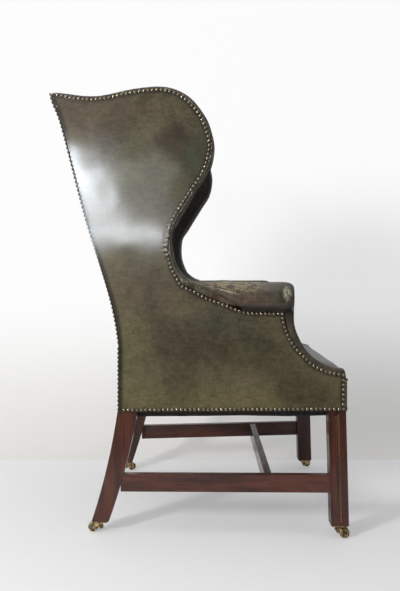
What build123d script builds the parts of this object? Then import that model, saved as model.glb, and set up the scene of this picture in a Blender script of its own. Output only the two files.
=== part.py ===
from build123d import *
import math
import os

os.makedirs("parts", exist_ok=True)

# A wing armchair. The chair faces -Y, +Z is up and the origin is on the floor under the middle
# of its box. The sitter's left is +X. Millimetres.

# Overall form of a side, as seen square on
wing_top_height = 1147.5
wing_front = -38.0
back_corner = 381.0
back_corner_height = 1137.0
neck_height = 765.0
neck_depth = 70.0
arm_join = 5.0
arm_top_height = 646.0
arm_front = -238.0
arm_bend_radius = 24.0
sweep_start_height = 553.0
sweep_end = -370.0
sweep_end_height = 424.0
seat_front = -374.5
back_foot = 206.0
back_bend_height = 490.0

# The two sides stand closer together at the back
side_half_width = 320.0
side_toe = 3.4

# Seat frame
rail_bottom_front = 321.0
rail_bottom_rear = 312.0
rail_top = 395.0
rail_thickness = 28.0
tenon_length = 16.0
tenon_thickness = 10.0
tenon_shoulder = 12.0
peg_diameter = 8.0
peg_length = 34.0
corner_block_side = 70.0
corner_block_height = 44.0

# Legs
front_leg_width = 42.5
front_leg_depth = 44.5
front_leg_face = -372.0
front_leg_outer = 339.5
front_leg_lean = 7.5
leg_rebate = 3.0
rear_leg_width = 40.0
rear_leg_outer = 306.0
rear_leg_top_depth = 51.0
rear_leg_foot_depth = 44.0
rear_leg_back_foot = 275.0
rear_leg_back_middle = 236.0
rear_leg_front_middle = 189.0
rear_leg_middle_height = 168.0
scarf_length = 75.0
scarf_thickness = 20.0
leg_foot_height = 30.0

channel_width = 12.0
channel_depth = 1.6
channel_stop = 8.0

# Stretchers
stretcher_top_front = 158.0
stretcher_top_rear = 152.0
stretcher_height = 44.5
stretcher_thickness = 20.0
stretcher_setback = 2.0
stretcher_tenon = 12.0
stretcher_tenon_thickness = 9.0
stretcher_shoulder = 8.0
cross_stretcher_middle = -178.0
cross_stretcher_thickness = 18.0
cross_stretcher_height = 40.0
cross_stretcher_drop = 1.5

# Side frame boards, which follow the nail line
leather = 2.5
board_thickness = 28.0
board_width = 34.0
board_beyond_nails = 4.0
back_post_depth = 38.0
post_top_drop = 9.0
back_post_thickness = 34.0
arm_board_thickness = 14.0
arm_board_reach = 18.0
arm_board_bevel_width = 26.0
arm_board_bevel_height = 12.0
arm_board_rear = -125.0
wing_upright_top = 1086.0
crest_rail_height = 72.0
crest_rail_thickness = 24.0
lower_rail_bottom = 482.0
lower_rail_height = 48.0
lower_rail_setback = 0.5
lower_rail_thickness = 20.0
crest_setback = 1.5

# Upholstery of the sides
wing_thickness = 56.0
cover_leather = 2.0
stuffing_clearance = 0.3
cover_setback = 0.4
seam_rise = 4.0
inner_edge_radius = 18.0
outer_edge_radius = 4.0
panel_beyond_nails = 1.5
roll_reach = 35.0
roll_root = 10.0

# Seat
seat_crown_height = 456.0
seat_shoulder_height = 424.0
seat_roll_forward = 7.0
seat_rear = 70.0
seat_corner_radius = 14.0
seat_gap = 0.5
webbing_width = 50.0
webbing_thickness = 1.5
webbing_pitch = 84.0
seat_webs = 5
back_webs = 4
hessian_thickness = 1.0

# Inside back
back_pad_foot = 139.0
back_pad_thickness = 52.0
back_pad_head_thickness = 50.0
back_pad_crown = 24.0
back_pad_edge = 12.0
back_pad_top = 1145.0
crest_arch = 6.0
crest_shoulder = 10.0

# Cloth below
dust_cloth_thickness = 1.0
dust_cloth_sag = 11.0

# Nails
nail_pitch = 11.3
nail_head_radius = 4.8
nail_head_height = 3.0
nail_shank_radius = 0.9
nail_shank_length = 9.0

# Castors
plate_side = 38.0
plate_thickness = 3.0
castor_pin_radius = 3.5
castor_pin_head_radius = 5.5
castor_pin_head_height = 2.0
castor_pin_room = 1.0
running_clearance = 0.05
castor_trail = 20.0
wheel_radius = 13.0
wheel_width = 13.0
wheel_crown = 1.2
wheel_side_gap = 0.4
axle_radius = 2.2
axle_head_radius = 3.4
axle_head_height = 1.0
horn_boss_radius = 6.0
horn_cheek = 2.2
horn_top_gap = 0.4
horn_end_radius = 5.0
screw_head_radius = 2.6
screw_shank_radius = 1.4
screw_length = 12.0
screw_place = 14.0

upholstery_base = rail_top + 2 * webbing_thickness + hessian_thickness
toe = math.radians(side_toe)
side_plane = Plane(
    origin=(side_half_width, 0, 0),
    x_dir=(-math.sin(toe), math.cos(toe), 0),
    z_dir=(math.cos(toe), math.sin(toe), 0),
)
side_axis = Axis((0, 0, 0), (math.cos(toe), math.sin(toe), 0))
overrun = 2 * rail_thickness


def save(piece, name):
    piece.part.label = name
    export_step(piece.part, f"parts/{name}.step")


def save_pair(left, name):
    """Writes the left piece and its mirror image, and gives back the right one."""
    save(left, f"{name}_left")
    with BuildPart() as right:
        mirror(left.part, about=Plane.YZ)
    save(right, f"{name}_right")
    return right


def within(shares, rear, front, low, high):
    """Outline points from shares of a box: how far forward, and how far up."""
    return [(rear + (front - rear) * f, low + (high - low) * u) for f, u in shares]


# The wing's edge from the back corner over the top, round the front and down to the neck
wing_edge_shares = [
    (0.168, 0.948), (0.243, 0.941), (0.354, 0.952), (0.466, 0.978),
    (0.576, 0.995), (0.651, 1.0), (0.7245, 0.992), (0.798, 0.964), (0.871, 0.906),
    (0.9435, 0.799), (0.978, 0.71), (1.0, 0.585), (0.977, 0.446), (0.917, 0.337),
    (0.860, 0.236), (0.8045, 0.136), (0.756, 0.045),
]
head_slope_share = 0.13
# From the neck down to the top of the arm
neck_edge_shares = [(0.055, 0.66), (0.285, 0.28), (0.49, 0.144), (0.77, 0.04), (1.0, 0.0)]
# The sweep from the arm's front down to the seat's front corner
sweep_shares = [
    (0.0, 1.0), (0.045, 0.77), (0.145, 0.555), (0.22, 0.43), (0.345, 0.29),
    (0.50, 0.17), (0.69, 0.08), (0.88, 0.025), (1.0, 0.0),
]
# The nail line in the same three boxes, and under the arm's roll
wing_nail_shares = [
    (0.012, 0.957), (0.117, 0.929), (0.237, 0.914), (0.3525, 0.924), (0.4654, 0.95),
    (0.5754, 0.967), (0.650, 0.972), (0.7234, 0.963), (0.7843, 0.938), (0.848, 0.888),
    (0.9265, 0.779), (0.961, 0.68), (0.9745, 0.62), (0.971, 0.56), (0.952, 0.47),
    (0.897, 0.352), (0.858, 0.292), (0.7745, 0.15), (0.737, 0.068),
]
neck_nail_shares = [(-0.17, 0.80), (-0.18, 0.66), (-0.09, 0.48), (0.0, 0.295), (0.17, 0.12)]
roll_nail_shares = [
    (0.0, 0.86), (0.09, 0.73), (0.235, 0.49), (0.42, 0.28), (0.545, 0.11), (0.706, 0.0)]
roll_nail_rear = 42.0
roll_nail_height = 565.5
arm_nail_front = -213.0
sweep_nail_shares = [
    (0.055, 0.72), (0.175, 0.49), (0.26, 0.385), (0.36, 0.285),
    (0.47, 0.185), (0.60, 0.105), (0.735, 0.052), (0.875, 0.02),
]
sweep_nail_end = -366.0
sweep_nail_end_height = 411.0
nails_above_edge = 5.5
# The back line, as heights and how far the back has raked by there
back_line_shares = [
    (0.0, 0.0), (0.145, 0.0935), (0.455, 0.434), (0.8385, 0.8085), (0.915, 0.898),
    (0.96, 0.968), (1.0, 1.0)]


def drawn_in(points, inset):
    """An open line's points, each moved square to the line, to its left."""
    moved = []
    for i, (y, z) in enumerate(points):
        before, after = points[max(i - 1, 0)], points[min(i + 1, len(points) - 1)]
        dy, dz = after[0] - before[0], after[1] - before[1]
        length = math.hypot(dy, dz)
        moved.append((y - dz / length * inset, z + dy / length * inset))
    return moved


def back_line(behind=0):
    """Points up the wooden back of the side, from above the seat rail to the top corner."""
    rear, rise = back_foot - leather, back_corner_height - back_bend_height
    rake = back_corner - rear
    return [
        (rear + rake * r + behind, back_bend_height + rise * h) for h, r in back_line_shares]


def side_outline(inset, behind):
    """The padded side above the seat rail, drawn in by an inset, its back moved by a length."""
    base = upholstery_base - max(behind, 0)
    head = (back_corner + behind, back_corner_height + behind * head_slope_share)
    wing = [head] + within(
        wing_edge_shares, back_corner, wing_front, neck_height, wing_top_height)
    neck = within(neck_edge_shares, neck_depth, arm_join, arm_top_height, neck_height)
    edge_points = drawn_in(wing + neck, inset)
    sweep = drawn_in(
        within(sweep_shares, arm_front, sweep_end, sweep_end_height, sweep_start_height),
        inset)
    back = back_line(behind)
    bend = arm_bend_radius - inset
    front_y, top_z = arm_front + inset, arm_top_height - inset
    with BuildSketch(Plane.XY, mode=Mode.PRIVATE) as outline:
        with BuildLine():
            edge = Spline(edge_points)
            top = Line(edge @ 1, (front_y + bend, top_z))
            turn = RadiusArc(top @ 1, (front_y, top_z - bend), -bend)
            Line(turn @ 1, (front_y, sweep_start_height))
            front = Spline([(front_y, sweep_start_height)] + sweep[1:])
            corner = Line(front @ 1, (seat_front + inset, base))
            low = Line(corner @ 1, (back[0][0], base))
            foot = Line(low @ 1, back[0])
            spine = Spline([foot @ 1] + back[1:-1] + [edge @ 0])
        make_face()
    return outline.sketch


def rail_bottom(y):
    """The seat frame's lower edge falls a little to the back."""
    share = (y - seat_front) / (back_foot - seat_front)
    return rail_bottom_front + (rail_bottom_rear - rail_bottom_front) * share


def nail_lines(beyond, hem=None):
    """The nail line's stretches, moved outwards by a margin, with another one at the foot."""
    wing = within(wing_nail_shares, back_corner, wing_front, neck_height, wing_top_height)
    neck = within(neck_nail_shares, neck_depth, arm_join, arm_top_height, neck_height)
    roll = within(
        roll_nail_shares, roll_nail_rear, arm_nail_front, roll_nail_height, arm_top_height)
    sweep = within(
        sweep_nail_shares, arm_nail_front, sweep_nail_end,
        sweep_nail_end_height, roll_nail_height)
    corner = (arm_nail_front - beyond, roll_nail_height + beyond)
    sweep_top = (sweep_nail_end - beyond, sweep_nail_end_height + beyond)
    low = nails_above_edge - (beyond if hem is None else hem)
    front_foot = (sweep_nail_end - beyond, rail_bottom(sweep_nail_end) + low)
    rear_foot = (back_foot - leather, rail_bottom(back_foot) + low)
    return (
        drawn_in(wing + neck + roll, -beyond), corner,
        [corner] + drawn_in(sweep, -beyond) + [sweep_top], front_foot, rear_foot)


def nail_region(beyond, hem=None, behind=0):
    """The region inside the nail line and the back line, grown by a margin."""
    upper_points, corner, sweep, front_foot, rear_foot = nail_lines(beyond, hem)
    with BuildSketch(Plane.XY, mode=Mode.PRIVATE) as region:
        with BuildLine():
            upper = Spline(upper_points)
            Line(upper @ 1, corner)
            Spline(sweep)
            Line(sweep[-1], front_foot)
            top = upper @ 0
            back = [
                point for point in back_line(behind) if point[1] < top.Y - back_post_depth / 2]
            Polyline(front_foot, (rear_foot[0] + behind, rear_foot[1]), back[0])
            spine = Spline(back + [(top.X + behind, top.Y)])
            if behind:
                Line(spine @ 1, top)
        make_face()
    return region.sketch


def side_x(y, n):
    """How far from the middle a place on the side plane, moved out by n, lies."""
    return side_half_width - y * math.tan(toe) + n / math.cos(toe)


def back_at(height):
    """The depth of the wooden back line at a height."""
    points = [(back_foot - leather, 0.0)] + back_line()
    for (y0, z0), (y1, z1) in zip(points, points[1:]):
        if height <= z1:
            return y0 + (y1 - y0) * (height - z0) / (z1 - z0)
    return points[-1][0]


# Leg blanks, before their mortises
front_leg_back = front_leg_face + front_leg_depth
front_leg_top = rail_bottom(front_leg_back)
rear_leg_top = rail_bottom(back_foot)
rear_leg_back = back_foot + leather
rear_leg_front = rear_leg_back - rear_leg_top_depth
covered_width = front_leg_width - leg_rebate
front_leg_middle = front_leg_outer - front_leg_width / 2
front_foot_middle = front_leg_face + front_leg_depth / 2 - front_leg_lean
rear_leg_middle = rear_leg_outer - rear_leg_width / 2
rear_foot_middle = rear_leg_back_foot - rear_leg_foot_depth / 2
inside_board = Plane(
    origin=side_plane.from_local_coords((0, 0, -leather)),
    x_dir=side_plane.x_dir, z_dir=side_plane.z_dir)

with BuildPart() as front_leg_blank:
    for height, middle in (
            (leg_foot_height, front_foot_middle),
            (front_leg_top, front_foot_middle + front_leg_lean)):
        with BuildSketch(Plane.XY.offset(height)):
            with Locations((front_leg_middle, middle)):
                Rectangle(front_leg_width, front_leg_depth)
    loft()
    with BuildSketch(inside_board.offset(-covered_width)):
        with BuildLine():
            Polyline(
                (front_leg_face, front_leg_top), (front_leg_back, front_leg_top),
                (front_leg_back, rail_top), (front_leg_face, rail_top), close=True)
        make_face()
    extrude(amount=covered_width)
    with BuildSketch(Plane.XY.offset(front_leg_top)):
        with Locations((front_leg_middle, front_leg_face - front_leg_depth / 2)):
            Rectangle(2 * front_leg_width, front_leg_depth)
    extrude(amount=rail_top - front_leg_top, mode=Mode.SUBTRACT)

with BuildPart() as rear_leg_blank:
    with BuildSketch(Plane.YZ.offset(rear_leg_outer - rear_leg_width)):
        with BuildLine():
            rear_curve = ThreePointArc(
                (rear_leg_back, rear_leg_top), (rear_leg_back_middle, rear_leg_middle_height),
                (rear_leg_back_foot, leg_foot_height))
            sole = Line(
                rear_curve @ 1, (rear_leg_back_foot - rear_leg_foot_depth, leg_foot_height))
            front_curve = ThreePointArc(
                sole @ 1, (rear_leg_front_middle, rear_leg_middle_height),
                (rear_leg_front, rear_leg_top))
            Line(front_curve @ 1, rear_curve @ 0)
        make_face()
    extrude(amount=rear_leg_width)
    with BuildSketch(inside_board.offset(-covered_width)):
        with BuildLine():
            Polyline(
                (rear_leg_front, rear_leg_top), (back_foot - leather, rear_leg_top),
                (back_foot - leather, rail_top), (rear_leg_front, rail_top), close=True)
        make_face()
    extrude(amount=covered_width)
    scarf_front = back_foot - leather - back_post_depth
    with BuildSketch(inside_board.offset(-covered_width)):
        with BuildLine():
            Polyline(
                (scarf_front, rail_top), (back_foot - leather, rail_top),
                (back_foot - leather, rail_top + scarf_length),
                (scarf_front, rail_top + scarf_length), close=True)
        make_face()
    extrude(amount=scarf_thickness)

# Seat rails
side_tenon_front = front_leg_back - tenon_length
side_tenon_rear = rear_leg_front + tenon_length
front_rail_rear = seat_front + leather + rail_thickness
rear_rail_front = back_foot - leather - rail_thickness
front_rail_end = side_x(front_rail_rear, -leather - covered_width)
rear_rail_end = side_x(back_foot, -leather - covered_width)
board_tenon_inset = (board_thickness - tenon_thickness) / 2
stub_front = front_leg_back + tenon_shoulder
stub_rear = stub_front + board_width


def side_board(points, outward, thickness):
    """A face on the side plane at a depth, for a board of that thickness."""
    with BuildPart() as board:
        with BuildSketch(inside_board.offset(-outward - thickness)):
            with BuildLine():
                Polyline(*points, close=True)
            make_face()
        extrude(amount=thickness)
    return board.part


with BuildPart() as side_seat_rail:
    add(side_board([
        (front_leg_back, rail_bottom(front_leg_back)), (rear_leg_front, rail_bottom(rear_leg_front)),
        (rear_leg_front, rail_top), (front_leg_back, rail_top)], 0, board_thickness))
    add(front_leg_blank.part, mode=Mode.SUBTRACT)
    add(rear_leg_blank.part, mode=Mode.SUBTRACT)
    add(side_board([
        (side_tenon_front, front_leg_top + tenon_shoulder),
        (side_tenon_rear, front_leg_top + tenon_shoulder),
        (side_tenon_rear, rail_top - tenon_shoulder),
        (side_tenon_front, rail_top - tenon_shoulder)], board_tenon_inset, tenon_thickness))
    add(side_board([
        (stub_front, rail_top - tenon_length), (stub_rear, rail_top - tenon_length),
        (stub_rear, rail_top), (stub_front, rail_top)],
        board_tenon_inset, tenon_thickness), mode=Mode.SUBTRACT)


def cross_rail(profile, half_length, tenon_profile):
    """A rail across the chair from its end profile, with a tenon at each end."""
    with BuildPart() as rail:
        with BuildSketch(Plane.YZ):
            with BuildLine():
                Polyline(*profile, close=True)
            make_face()
        extrude(amount=half_length, both=True)
        with BuildSketch(Plane.YZ):
            with BuildLine():
                Polyline(*tenon_profile, close=True)
            make_face()
        extrude(amount=half_length + tenon_length, both=True)
    return rail.part


def seat_rail_profiles(front):
    """The end profiles of a front or rear seat rail and of its tenon."""
    rear = front + rail_thickness
    tenon_front = front + (rail_thickness - tenon_thickness) / 2
    tenon_rear = tenon_front + tenon_thickness
    low, high = rail_bottom(rear) + tenon_shoulder, rail_top - tenon_shoulder
    rail = [
        (front, rail_bottom(front)), (rear, rail_bottom(rear)), (rear, rail_top),
        (front, rail_top)]
    return rail, [(tenon_front, low), (tenon_rear, low), (tenon_rear, high), (tenon_front, high)]


front_profile, front_tenon = seat_rail_profiles(seat_front + leather)
rear_profile, rear_tenon = seat_rail_profiles(rear_rail_front)
with BuildPart() as front_seat_rail:
    add(cross_rail(front_profile, front_rail_end, front_tenon))
with BuildPart() as rear_seat_rail:
    add(cross_rail(rear_profile, rear_rail_end, rear_tenon))

# Pegs through the seat frame's joints
peg_high = rail_top - tenon_shoulder - peg_diameter
peg_low = front_leg_top + tenon_shoulder + peg_diameter
with BuildPart() as left_pegs:
    for place in (front_leg_back - tenon_length / 2, rear_leg_front + tenon_length / 2):
        with BuildSketch(inside_board):
            with Locations((place, peg_high)):
                Circle(peg_diameter / 2)
        extrude(amount=-peg_length)
    for face_y, end, way in (
            (front_leg_face, front_rail_end, 1),
            (back_foot - leather, rear_rail_end, -1)):
        with BuildSketch(Plane.XZ.offset(-face_y)):
            with Locations((end + tenon_length / 2, peg_low)):
                Circle(peg_diameter / 2)
        extrude(amount=-way * peg_length)

# Stretchers, nearly flush with the legs' outer faces
def stretcher_top(y):
    share = (y - front_leg_back) / (rear_leg_front - front_leg_back)
    return stretcher_top_front + (stretcher_top_rear - stretcher_top_front) * share


stretcher_front = front_leg_back - stretcher_tenon
stretcher_rear = rear_leg_front_middle + stretcher_tenon
stretcher_depth = stretcher_setback + leather
with BuildPart() as side_stretcher_blank:
    add(side_board([
        (stretcher_front, stretcher_top(stretcher_front) - stretcher_height),
        (stretcher_rear, stretcher_top(stretcher_rear) - stretcher_height),
        (stretcher_rear, stretcher_top(stretcher_rear)),
        (stretcher_front, stretcher_top(stretcher_front))],
        stretcher_setback, stretcher_thickness))
    add(front_leg_blank.part, mode=Mode.SUBTRACT)
    add(rear_leg_blank.part, mode=Mode.SUBTRACT)
    add(side_board([
        (stretcher_front, stretcher_top(stretcher_front) - stretcher_height + stretcher_shoulder),
        (stretcher_rear, stretcher_top(stretcher_rear) - stretcher_height + stretcher_shoulder),
        (stretcher_rear, stretcher_top(stretcher_rear) - stretcher_shoulder),
        (stretcher_front, stretcher_top(stretcher_front) - stretcher_shoulder)],
        stretcher_setback + (stretcher_thickness - stretcher_tenon_thickness) / 2,
        stretcher_tenon_thickness))

cross_top = stretcher_top(cross_stretcher_middle) - cross_stretcher_drop
cross_bottom = cross_top - cross_stretcher_height
cross_end = side_x(cross_stretcher_middle, -stretcher_depth - stretcher_thickness)
with BuildPart() as cross_stretcher:
    with Locations((0, cross_stretcher_middle, (cross_top + cross_bottom) / 2)):
        Box(2 * cross_end, cross_stretcher_thickness, cross_stretcher_height)
        Box(
            2 * (cross_end + stretcher_tenon), stretcher_tenon_thickness,
            cross_stretcher_height - 2 * stretcher_shoulder)
with BuildPart() as side_stretcher:
    add(side_stretcher_blank.part)
    add(cross_stretcher.part, mode=Mode.SUBTRACT)

# Boards of the back and sides
back_points = back_line()
post_top = back_corner_height - post_top_drop
with BuildPart() as back_post:
    with BuildSketch(inside_board.offset(-back_post_thickness)):
        with BuildLine():
            heel = Line((back_points[0][0], rail_top), back_points[0])
            rear_edge = Spline(back_points)
            inner = drawn_in(back_points, back_post_depth)
            inner[0] = (back_points[0][0] - back_post_depth, back_bend_height)
            head = Line(rear_edge @ 1, inner[-1])
            front_edge = Spline(inner[::-1])
            Polyline(front_edge @ 1, (inner[0][0], rail_top), heel @ 0)
        make_face()
        with Locations((back_corner / 2, (post_top + rail_top) / 2)):
            Rectangle(2 * back_corner, post_top - rail_top, mode=Mode.INTERSECT)
    extrude(amount=back_post_thickness)
    add(rear_leg_blank.part, mode=Mode.SUBTRACT)

arm_rail_bottom = roll_nail_height + board_beyond_nails - board_width
arm_rail_level = roll_nail_height + board_beyond_nails
arm_post_rear = arm_nail_front - board_beyond_nails + board_width


def ring_board(rear, front, low, high):
    """The stretch of the board along the nail line that lies within a box."""
    with BuildPart() as board:
        with BuildSketch(inside_board.offset(-board_thickness)):
            add(nail_region(board_beyond_nails))
            add(nail_region(board_beyond_nails - board_width), mode=Mode.SUBTRACT)
            with Locations(((rear + front) / 2, (low + high) / 2)):
                Rectangle(rear - front, high - low, mode=Mode.INTERSECT)
        extrude(amount=board_thickness)
    return board.part


with BuildPart() as arm_post:
    add(ring_board(arm_post_rear, seat_front, rail_top, arm_rail_level + board_width))
    add(side_board([
        (stub_front, rail_top - tenon_length), (stub_rear, rail_top - tenon_length),
        (stub_rear, rail_top + tenon_shoulder), (stub_front, rail_top + tenon_shoulder)],
        board_tenon_inset, tenon_thickness))

with BuildPart() as arm_rail:
    add(side_board([
        (arm_post_rear, arm_rail_bottom), (back_foot, arm_rail_bottom),
        (back_foot, arm_rail_level), (arm_post_rear, arm_rail_level)], 0, board_thickness))
    add(back_post.part, mode=Mode.SUBTRACT)
    add(side_board([
        (arm_post_rear - tenon_length, arm_rail_bottom + tenon_shoulder),
        (arm_post_rear, arm_rail_bottom + tenon_shoulder),
        (arm_post_rear, arm_rail_level - tenon_shoulder),
        (arm_post_rear - tenon_length, arm_rail_level - tenon_shoulder)],
        board_tenon_inset, tenon_thickness))

with BuildPart() as wing_upright:
    add(ring_board(neck_depth + board_width, arm_nail_front, arm_rail_level, wing_upright_top))

with BuildPart() as wing_top_rail:
    add(ring_board(
        back_corner - back_post_depth, wing_front, wing_upright_top, wing_top_height))
    add(back_post.part, mode=Mode.SUBTRACT)

# Rails across the back
crest_bottom = post_top - crest_rail_height
crest_end = side_x(back_at(crest_bottom), -leather - back_post_thickness)
crest_tenon_inset = (crest_rail_thickness - tenon_thickness) / 2
with BuildPart() as crest_rail:
    add(cross_rail(
        [(back_at(z) - crest_setback - forward, z) for forward, z in (
            (0, crest_bottom), (0, post_top), (crest_rail_thickness, post_top),
            (crest_rail_thickness, crest_bottom))],
        crest_end,
        [(back_at(z) - crest_setback - forward, z) for forward, z in (
            (crest_tenon_inset, crest_bottom + tenon_shoulder),
            (crest_tenon_inset, post_top - tenon_shoulder),
            (crest_tenon_inset + tenon_thickness, post_top - tenon_shoulder),
            (crest_tenon_inset + tenon_thickness, crest_bottom + tenon_shoulder))]))
lower_rail_top = lower_rail_bottom + lower_rail_height
lower_rail_rear = back_foot - leather - lower_rail_setback
lower_rail_front = lower_rail_rear - lower_rail_thickness
lower_tenon_inset = (lower_rail_thickness - tenon_thickness) / 2
lower_rail_end = side_x(lower_rail_rear, -leather - back_post_thickness)
with BuildPart() as lower_back_rail:
    add(cross_rail(
        [(lower_rail_front, lower_rail_bottom), (lower_rail_rear, lower_rail_bottom),
         (lower_rail_rear, lower_rail_top), (lower_rail_front, lower_rail_top)],
        lower_rail_end,
        [(lower_rail_front + lower_tenon_inset, lower_rail_bottom + tenon_shoulder),
         (lower_rail_rear - lower_tenon_inset, lower_rail_bottom + tenon_shoulder),
         (lower_rail_rear - lower_tenon_inset, lower_rail_top - tenon_shoulder),
         (lower_rail_front + lower_tenon_inset, lower_rail_top - tenon_shoulder)]))

# A board on each arm rail carries the roll out past the side
arm_board_end = Plane(
    origin=side_plane.from_local_coords((arm_nail_front, arm_rail_level, 0)),
    x_dir=side_plane.z_dir, z_dir=-side_plane.x_dir)
with BuildPart() as left_arm_board:
    with BuildSketch(arm_board_end):
        with BuildLine():
            Polyline(
                (-leather - board_thickness, 0), (arm_board_reach - arm_board_bevel_width, 0),
                (arm_board_reach, arm_board_bevel_height), (arm_board_reach, arm_board_thickness),
                (-leather - board_thickness, arm_board_thickness), close=True)
        make_face()
    extrude(amount=arm_nail_front - arm_board_rear)
    add(wing_upright.part, mode=Mode.SUBTRACT)

# Blocks glued inside the seat frame's corners
block_let_in = board_tenon_inset / 2
block_low = rail_top - tenon_shoulder - corner_block_height
with BuildPart() as left_blocks:
    for rail_face, way in ((front_rail_rear, 1), (rear_rail_front, -1)):
        block_x = side_x(rail_face, -leather - board_thickness)
        with BuildSketch(Plane.XY.offset(block_low)):
            with BuildLine():
                Polyline(
                    (block_x + block_let_in, rail_face), (block_x - corner_block_side, rail_face),
                    (block_x + block_let_in, rail_face + way * (corner_block_side + block_let_in)),
                    close=True)
            make_face()
        extrude(amount=corner_block_height)
    for piece in (side_seat_rail, front_leg_blank, rear_leg_blank):
        add(piece.part, mode=Mode.SUBTRACT)

# Upholstery of the sides
roll_section_shares = [
    (0.0, 0.72, 0.62), (0.035, 0.93, 0.86), (0.09, 1.0, 1.0), (0.48, 1.0, 1.0),
    (0.68, 0.80, 0.74), (0.86, 0.42, 0.40), (1.0, 0.14, 0.12)]
roll_bottom = roll_nail_height + panel_beyond_nails + seat_gap
roll_middle_rise = arm_top_height - roll_bottom


def arm_roll(inset):
    """The roll that stands out from the arm, as D sections from its front end to the wing."""
    length = roll_nail_rear - arm_front
    with BuildPart() as roll:
        for along, tall, reach in roll_section_shares:
            y = arm_front + inset + (length - inset) * along
            top = arm_top_height - inset
            if along < roll_section_shares[2][0]:
                top = arm_top_height - inset - roll_middle_rise * (1 - tall) / 2
            low = top - roll_middle_rise * tall + 2 * inset
            out = roll_reach * reach - inset
            section = Plane(
                origin=side_plane.from_local_coords((y, 0, -cover_setback)),
                x_dir=side_plane.z_dir, z_dir=-side_plane.x_dir)
            with BuildSketch(section):
                with BuildLine():
                    belly = ThreePointArc((0, low), (out, (low + top) / 2), (0, top))
                    Polyline(belly @ 1, (-roll_root, top), (-roll_root, low), belly @ 0)
                make_face()
        loft()
    return roll.part


def side_pad(inset, behind):
    """One padded side, wing and arm together, with rounded edges and the arm's roll."""
    depth = wing_thickness - cover_setback - 2 * inset
    with BuildPart() as pad:
        with BuildSketch(side_plane.offset(inset - wing_thickness)):
            add(side_outline(inset, behind))
        extrude(amount=depth)
        for end, radius in ((0, inner_edge_radius), (-1, outer_edge_radius)):
            face = pad.faces().sort_by(side_axis)[end]
            soft = [
                edge for edge in face.edges()
                if edge.center().Z > upholstery_base + cover_leather
                and edge.center().Y < back_foot - overrun / 4]
            fillet(soft, radius=radius - inset)
        add(arm_roll(inset))
    return pad.part


pad_outside = side_pad(0, 0)
side_frame = (
    side_seat_rail, front_leg_blank, rear_leg_blank, back_post, arm_post, arm_rail,
    wing_upright, wing_top_rail, left_arm_board, crest_rail, lower_back_rail, rear_seat_rail)
with BuildPart() as panel_space:
    with BuildSketch(side_plane.offset(-2 * leather)):
        add(nail_region(panel_beyond_nails, nails_above_edge, overrun / 4))
    extrude(amount=2 * leather + overrun / 4)

with BuildPart() as side_leather:
    add(pad_outside)
    add(side_pad(cover_leather, overrun / 4), mode=Mode.SUBTRACT)
    add(panel_space.part, mode=Mode.SUBTRACT)
    for piece in (crest_rail, lower_back_rail):
        add(piece.part, mode=Mode.SUBTRACT)
with BuildPart() as side_stuffing:
    add(side_pad(cover_leather + stuffing_clearance, overrun / 4))
    with BuildSketch(side_plane.offset(-wing_thickness - overrun)):
        with BuildLine():
            stuffed_back = Polyline(*back_line(-back_post_depth / 3))
            Polyline(
                stuffed_back @ 1, (back_corner, wing_top_height + overrun),
                (seat_front - overrun, wing_top_height + overrun),
                (seat_front - overrun, upholstery_base),
                (back_line(-back_post_depth / 3)[0][0], upholstery_base), stuffed_back @ 0)
        make_face()
    extrude(amount=wing_thickness + 2 * overrun, mode=Mode.INTERSECT)
    add(panel_space.part, mode=Mode.SUBTRACT)
    for piece in side_frame:
        add(piece.part, mode=Mode.SUBTRACT)
with BuildPart() as outside_panel:
    with BuildSketch(inside_board):
        add(nail_region(panel_beyond_nails, nails_above_edge))
    extrude(amount=leather)

# The inside back, a crowned pad on a raked line that rolls over the crest rail
crest_front = back_at(crest_bottom) - crest_setback - crest_rail_thickness
crest_head = back_at(post_top) - crest_setback - crest_rail_thickness
pad_half_width = side_x(back_pad_foot, -leather - back_post_thickness) - seat_gap
pad_section_shares = [-1.0, -0.86, -0.5, 0.0, 0.5, 0.86, 1.0]
least_crown_share = 0.08


def back_pad(inset):
    """The inside back as upright sections from side to side, drawn in at both ends."""
    with BuildPart() as pad:
        for across in pad_section_shares:
            swell = 1 - across * across
            front_foot = back_pad_foot - back_pad_thickness + back_pad_edge * (1 - swell) + inset
            front_head = crest_head - back_pad_head_thickness + back_pad_edge * (1 - swell) + inset
            top = back_pad_top - crest_arch * (1 - swell) - inset
            head = post_top - crest_shoulder
            middle = (upholstery_base + head) / 2
            bulge = (front_foot + front_head) / 2 - back_pad_crown * (swell + least_crown_share)
            rear_top = back_at(post_top) - crest_setback
            with BuildSketch(Plane.YZ.offset(pad_half_width * across)):
                with BuildLine():
                    Polyline(
                        (front_foot, upholstery_base), (back_pad_foot, upholstery_base),
                        (crest_front, crest_bottom), (crest_head, post_top),
                        (rear_top, post_top), (rear_top, post_top + (top - post_top) / 2))
                    ThreePointArc(
                        (rear_top, post_top + (top - post_top) / 2),
                        ((rear_top + front_head) / 2, top), (front_head, head))
                    ThreePointArc(
                        (front_head, head), (bulge, middle), (front_foot, upholstery_base))
                make_face()
        loft()
    return pad.part


with BuildPart() as right_pad_space:
    mirror(pad_outside, about=Plane.YZ)
with BuildPart() as right_post_space:
    mirror(back_post.part, about=Plane.YZ)
back_neighbours = (
    pad_outside, right_pad_space.part, back_post.part, right_post_space.part,
    crest_rail.part, lower_back_rail.part)
with BuildPart() as inside_back_leather:
    add(back_pad(0))
    add(back_pad(cover_leather), mode=Mode.SUBTRACT)
    for piece in back_neighbours:
        add(piece, mode=Mode.SUBTRACT)
with BuildPart() as back_stuffing:
    add(back_pad(cover_leather + stuffing_clearance))
    for piece in back_neighbours:
        add(piece, mode=Mode.SUBTRACT)

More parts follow.
